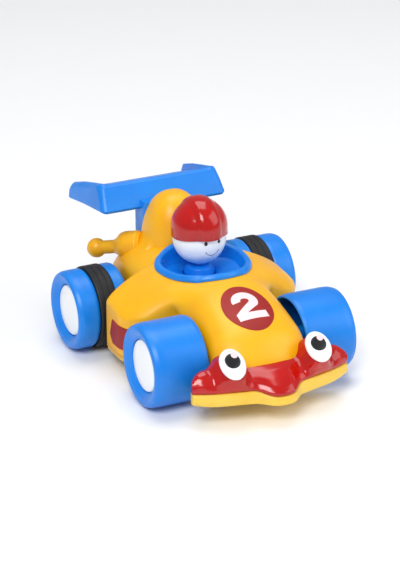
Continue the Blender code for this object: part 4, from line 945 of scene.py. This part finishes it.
def make_exhausts():
    """Exhaust: a profile of (radius, along) turned about its own slanting axis, ending in a ball."""
    angle = np.linspace(0.0, 2 * math.pi, 72, endpoint=False)
    for label, side in SIDES:
        start, tip = (np.array([side * x, y, z]) for x, y, z in (EXHAUST_START, EXHAUST_TIP))
        length = np.linalg.norm(tip - start)
        axis = (tip - start) / length
        across = np.cross(axis, (0.0, 0.0, 1.0))
        across = across / np.linalg.norm(across)
        up = np.cross(across, axis)
        profile = [(6.5, -EXHAUST_ROOT), (8.4, -2.0), (8.6, 6.0), (7.8, 9.0), (5.4, 11.5), (4.0, 14.0)]
        for lift in np.linspace(math.pi - math.asin(4.0 / EXHAUST_BALL), 0.06, 22):
            profile.append((EXHAUST_BALL * math.sin(lift), length + EXHAUST_BALL * math.cos(lift)))
        profile = eased(np.array([(r, 0.0, a) for r, a in profile]), 1.4, closed=False)
        ring = np.outer(np.cos(angle), across) + np.outer(np.sin(angle), up)
        rows = start + profile[:, None, 2:3] * axis + profile[:, None, 0:1] * ring[None]
        ends = (start - EXHAUST_ROOT * axis, start + axis * (length + EXHAUST_BALL))
        name = f"exhaust_{label}_stub"
        made = mesh_of(name, rows, YELLOW_ABS, wrap_columns=True, poles=ends, crease=60.0)
        seat(made, "body", "yellow_abs", f"exhaust_{label}")


# ------------------------ wheels

# Profiles as (radius, distance from the car's middle), and the hub cap's from its own seat
FRONT_WHEEL = (
    (1.8, 30.0), (5.0, 30.0), (5.0, 53.5), (21.4, 53.5), (21.4, 31.5), (22.4, 30.2), (23.3, 30.6),
    (24.0, 32.6), (24.0, 46.0), (24.0, 56.0), (23.7, 59.2), (22.8, 61.6), (21.2, 62.4), (18.6, 61.7),
    (16.2, 60.4), (15.2, 59.6), (15.2, 56.5), (1.8, 56.5),
)
REAR_WHEEL = (
    (1.8, 37.6), (5.0, 37.6), (5.0, 61.0), (19.2, 61.0), (19.2, 39.2), (21.4, 37.8), (22.8, 38.2),
    (23.4, 39.6), (23.4, 45.2), (21.6, 45.4), (21.6, 57.0), (22.6, 57.3), (23.2, 58.8), (23.2, 64.6),
    (23.0, 67.4), (22.2, 69.4), (20.9, 70.2), (18.4, 69.4), (16.2, 68.0), (15.2, 67.2), (15.2, 64.3),
    (1.8, 64.3),
)
TYRE = (
    (21.8, 45.7), (23.6, 45.7), (24.0, 46.5), (24.0, 48.9), (23.7, 49.2), (23.7, 49.5), (24.0, 49.8),
    (24.0, 52.6), (23.7, 52.9), (23.7, 53.2), (24.0, 53.5), (24.0, 56.0), (23.6, 56.8), (21.8, 56.8),
)
CAP = (
    (0.0, -2.6), (14.0, -2.6), (14.8, -2.2), (14.8, -0.5), (14.2, 0.0), (10.0, 0.7), (5.0, 1.0), (0.0, 1.1),
)


def make_wheels():
    """Wheels, hub caps and tyre bands: eased profiles turned about their axle."""
    for label, side in SIDES:
        for end, axle, profile, face in (
            ("front", FRONT_AXLE, FRONT_WHEEL, 59.4), ("rear", REAR_AXLE, REAR_WHEEL, 67.2),
        ):
            centre = (0.0, axle[1], axle[2])
            body = f"{end}_wheels"
            rim = [(r, side * a) for r, a in profile]
            wheel = turned(f"{end}_wheel_{label}_drum", rim, centre, "x", BLUE_ABS, 120, radius=0.9)
            seat(wheel, body, "blue_abs", f"{end}_wheel_{label}")
            dome = [(r, side * (face + a)) for r, a in CAP]
            name = f"{end}_hub_cap_{label}"
            cap = turned(f"{name}_dome", dome, centre, "x", WHITE_ABS, radius=0.7, closed=False)
            seat(cap, body, "white_abs", name)
        band = [(r, side * a) for r, a in TYRE]
        centre = (0.0, REAR_AXLE[1], REAR_AXLE[2])
        tyre = turned(f"rear_tyre_{label}_band", band, centre, "x", RUBBER, 120, radius=0.25)
        seat(tyre, "rear_wheels", "black_rubber", f"rear_tyre_{label}")


# ------------------------ printed parts


def draped(name, x, y, low, high, material, wrap=False, pole=None):
    """Thin plate over the body skin: rows of plan points at height low, then the same rows back at high."""
    bottom = np.stack([x, y, roof(x, y) + low], axis=-1)
    top = np.stack([x, y, roof(x, y) + high], axis=-1)
    rows = np.concatenate([bottom, top[::-1]])
    ends = (None, None)
    if pole is not None:
        ends = [np.array([*pole, roof(*pole) + lift]) for lift in (low, high)]
    return mesh_of(name, rows, material, wrap_rows=pole is None, wrap_columns=wrap, poles=ends, crease=50.0)


def numeral_strokes():
    """Plan of the 2: an arc that runs into a slanting stroke, and a bar below; rows go across the stroke."""
    half = 2.55
    bar_top = -4.9
    t = np.linspace(math.radians(188.0), math.radians(-38.0), 56)
    across = np.linspace(-half, half, 7)
    arc_x = 0.2 + (5.1 + across[:, None]) * np.cos(t)
    arc_y = 4.1 + (4.5 + across[:, None]) * np.sin(t)
    s = np.linspace(0.0, 1.0, 22)[1:]
    end_x = -5.6 + 1.35 * across[:, None]
    slant_x = arc_x[:, -1:] + (end_x - arc_x[:, -1:]) * s
    slant_y = arc_y[:, -1:] + (bar_top - arc_y[:, -1:]) * s
    hook = (np.concatenate([arc_x, slant_x], axis=1), np.concatenate([arc_y, slant_y], axis=1))
    bar = np.meshgrid(np.linspace(-9.0, 8.8, 40), np.linspace(-9.7, bar_top, 9))
    return hook, bar


def make_number():
    """Number disc draped on the bonnet, with the 2 as raised ink, and the side stickers."""
    angle = np.linspace(0.0, 2 * math.pi, 120, endpoint=False)
    share = np.linspace(0.06, 1.0, 16)[:, None]
    x = DISC_RADII[0] * share * np.cos(angle)
    y = DISC_CENTRE_Y + DISC_RADII[1] * share * np.sin(angle)
    disc = draped("number_disc_label", x, y, 0.02, 0.42, RED_LABEL, wrap=True, pole=(0.0, DISC_CENTRE_Y))
    seat(disc, "body", "red_abs", "number_disc")
    for label, (x, y) in zip(("hook", "bar"), numeral_strokes()):
        ink = draped(f"number_two_{label}", x, y + DISC_CENTRE_Y, 0.40, 0.55, WHITE_INK_AND_PAINTED_HIGHLIGHT)
        seat(ink, "body", "white_abs")
    y = np.linspace(-13.0, 6.1, 60)
    top = np.where(y < 3.1, 31.1 - 0.06 * (3.1 - y), 31.1 - 3.3 * (y - 3.1))
    low = np.where(y < 2.9, 16.4, 16.4 + 1.5 * (y - 2.9))
    for label, side in SIDES:
        rows = []
        for share, lift in ((0.0, 0.02), (0.0, 0.35), (0.03, 0.42), (0.97, 0.42), (1.0, 0.35), (1.0, 0.02)):
            x = side * (through(HALF_WIDTH, y) + lift)
            rows.append(np.stack([x, y, low + (top - low) * share], axis=-1))
        made = mesh_of(f"side_sticker_{label}_label", rows, RED_LABEL, wrap_rows=True, crease=50.0)
        seat(made, "body", "red_abs", f"side_sticker_{label}")


# ------------------------ the frame's own parts, the studio


def dress_frame():
    """Give each CAD node that still shows the finish of its material slot."""
    finishes = {
        "yellow_abs": YELLOW_ABS, "pale_yellow_abs": PALE_ABS, "blue_abs": BLUE_ABS, "red_abs": RED_ABS,
        "white_abs": WHITE_ABS, "black_print": BLACK_INK, "black_rubber": RUBBER, "axle_steel": STEEL,
        "spring_steel": SPRING_STEEL, "natural_acetal": ACETAL,
    }
    for row in frame["record"]["subparts"]:
        node = frame["nodes"][row["node"]]
        if node.hide_render:
            continue
        node.data.materials.clear()
        node.data.materials.append(finishes[row["material_slot"]])


def make_studio():
    """Pale floor, three soft lamps, even surround light, and the camera."""
    x, y = np.meshgrid((-FLOOR_REACH, FLOOR_REACH), (-FLOOR_REACH, FLOOR_REACH))
    rows = np.stack([x, y, np.zeros((2, 2))], axis=-1)
    paper = bpy.data.materials.new("matt_backdrop_paper")
    paper.use_nodes = True
    shader = paper.node_tree.nodes["Principled BSDF"]
    place = add(paper.node_tree, "ShaderNodeTexCoord", {}).outputs["Object"]
    fibre = add(paper.node_tree, "ShaderNodeTexNoise", {"Vector": place, "Scale": per_mm(40.0)})
    tone = add(paper.node_tree, "ShaderNodeMix", {"Factor": fibre.outputs["Fac"]}, data_type="RGBA")
    tone.inputs[6].default_value = linear("#FCFCFC")
    tone.inputs[7].default_value = linear("#F9FAFB")
    paper.node_tree.links.new(tone.outputs[2], shader.inputs["Base Color"])
    shader.inputs["Roughness"].default_value = 0.9
    floor = mesh_of("backdrop_floor", rows, paper)
    for name, place, size, power in LAMPS:
        lamp = bpy.data.lights.new(name, "AREA")
        lamp.size = size
        lamp.energy = power
        held = bpy.data.objects.new(name, lamp)
        held.location = place
        held.rotation_mode = "QUATERNION"
        held.rotation_quaternion = (Vector(LAMP_AIM) - Vector(place)).to_track_quat("-Z", "Y")
        bpy.context.scene.collection.objects.link(held)
    world = bpy.data.worlds.new("studio_surround")
    bpy.context.scene.world = world
    world.use_nodes = True
    surround = world.node_tree.nodes["Background"]
    surround.inputs["Color"].default_value = linear("#FBFCFF")
    surround.inputs["Strength"].default_value = SURROUND_STRENGTH
    bpy.context.scene.view_settings.view_transform = "Standard"
    camera = bpy.data.cameras.new("studio_camera")
    camera.lens = CAMERA_LENS
    camera.sensor_width = 36.0
    camera.clip_start = 0.05
    camera.clip_end = 20.0
    held = bpy.data.objects.new("studio_camera", camera)
    turn = Euler((math.radians(90.0 - CAMERA_ELEVATION), 0.0, math.radians(CAMERA_AZIMUTH)))
    held.rotation_euler = turn
    held.location = Vector(CAMERA_AIM) + turn.to_matrix() @ Vector((0.0, 0.0, CAMERA_DISTANCE))
    bpy.context.scene.collection.objects.link(held)
    bpy.context.scene.camera = held


make_body()
make_headrest()
make_floor()
make_lip()
make_bumper()
make_eyes()
make_tub()
make_driver()
make_face()
make_helmet()
make_wing()
make_exhausts()
make_wheels()
make_number()
dress_frame()
make_studio()

bpy.context.view_layer.update()
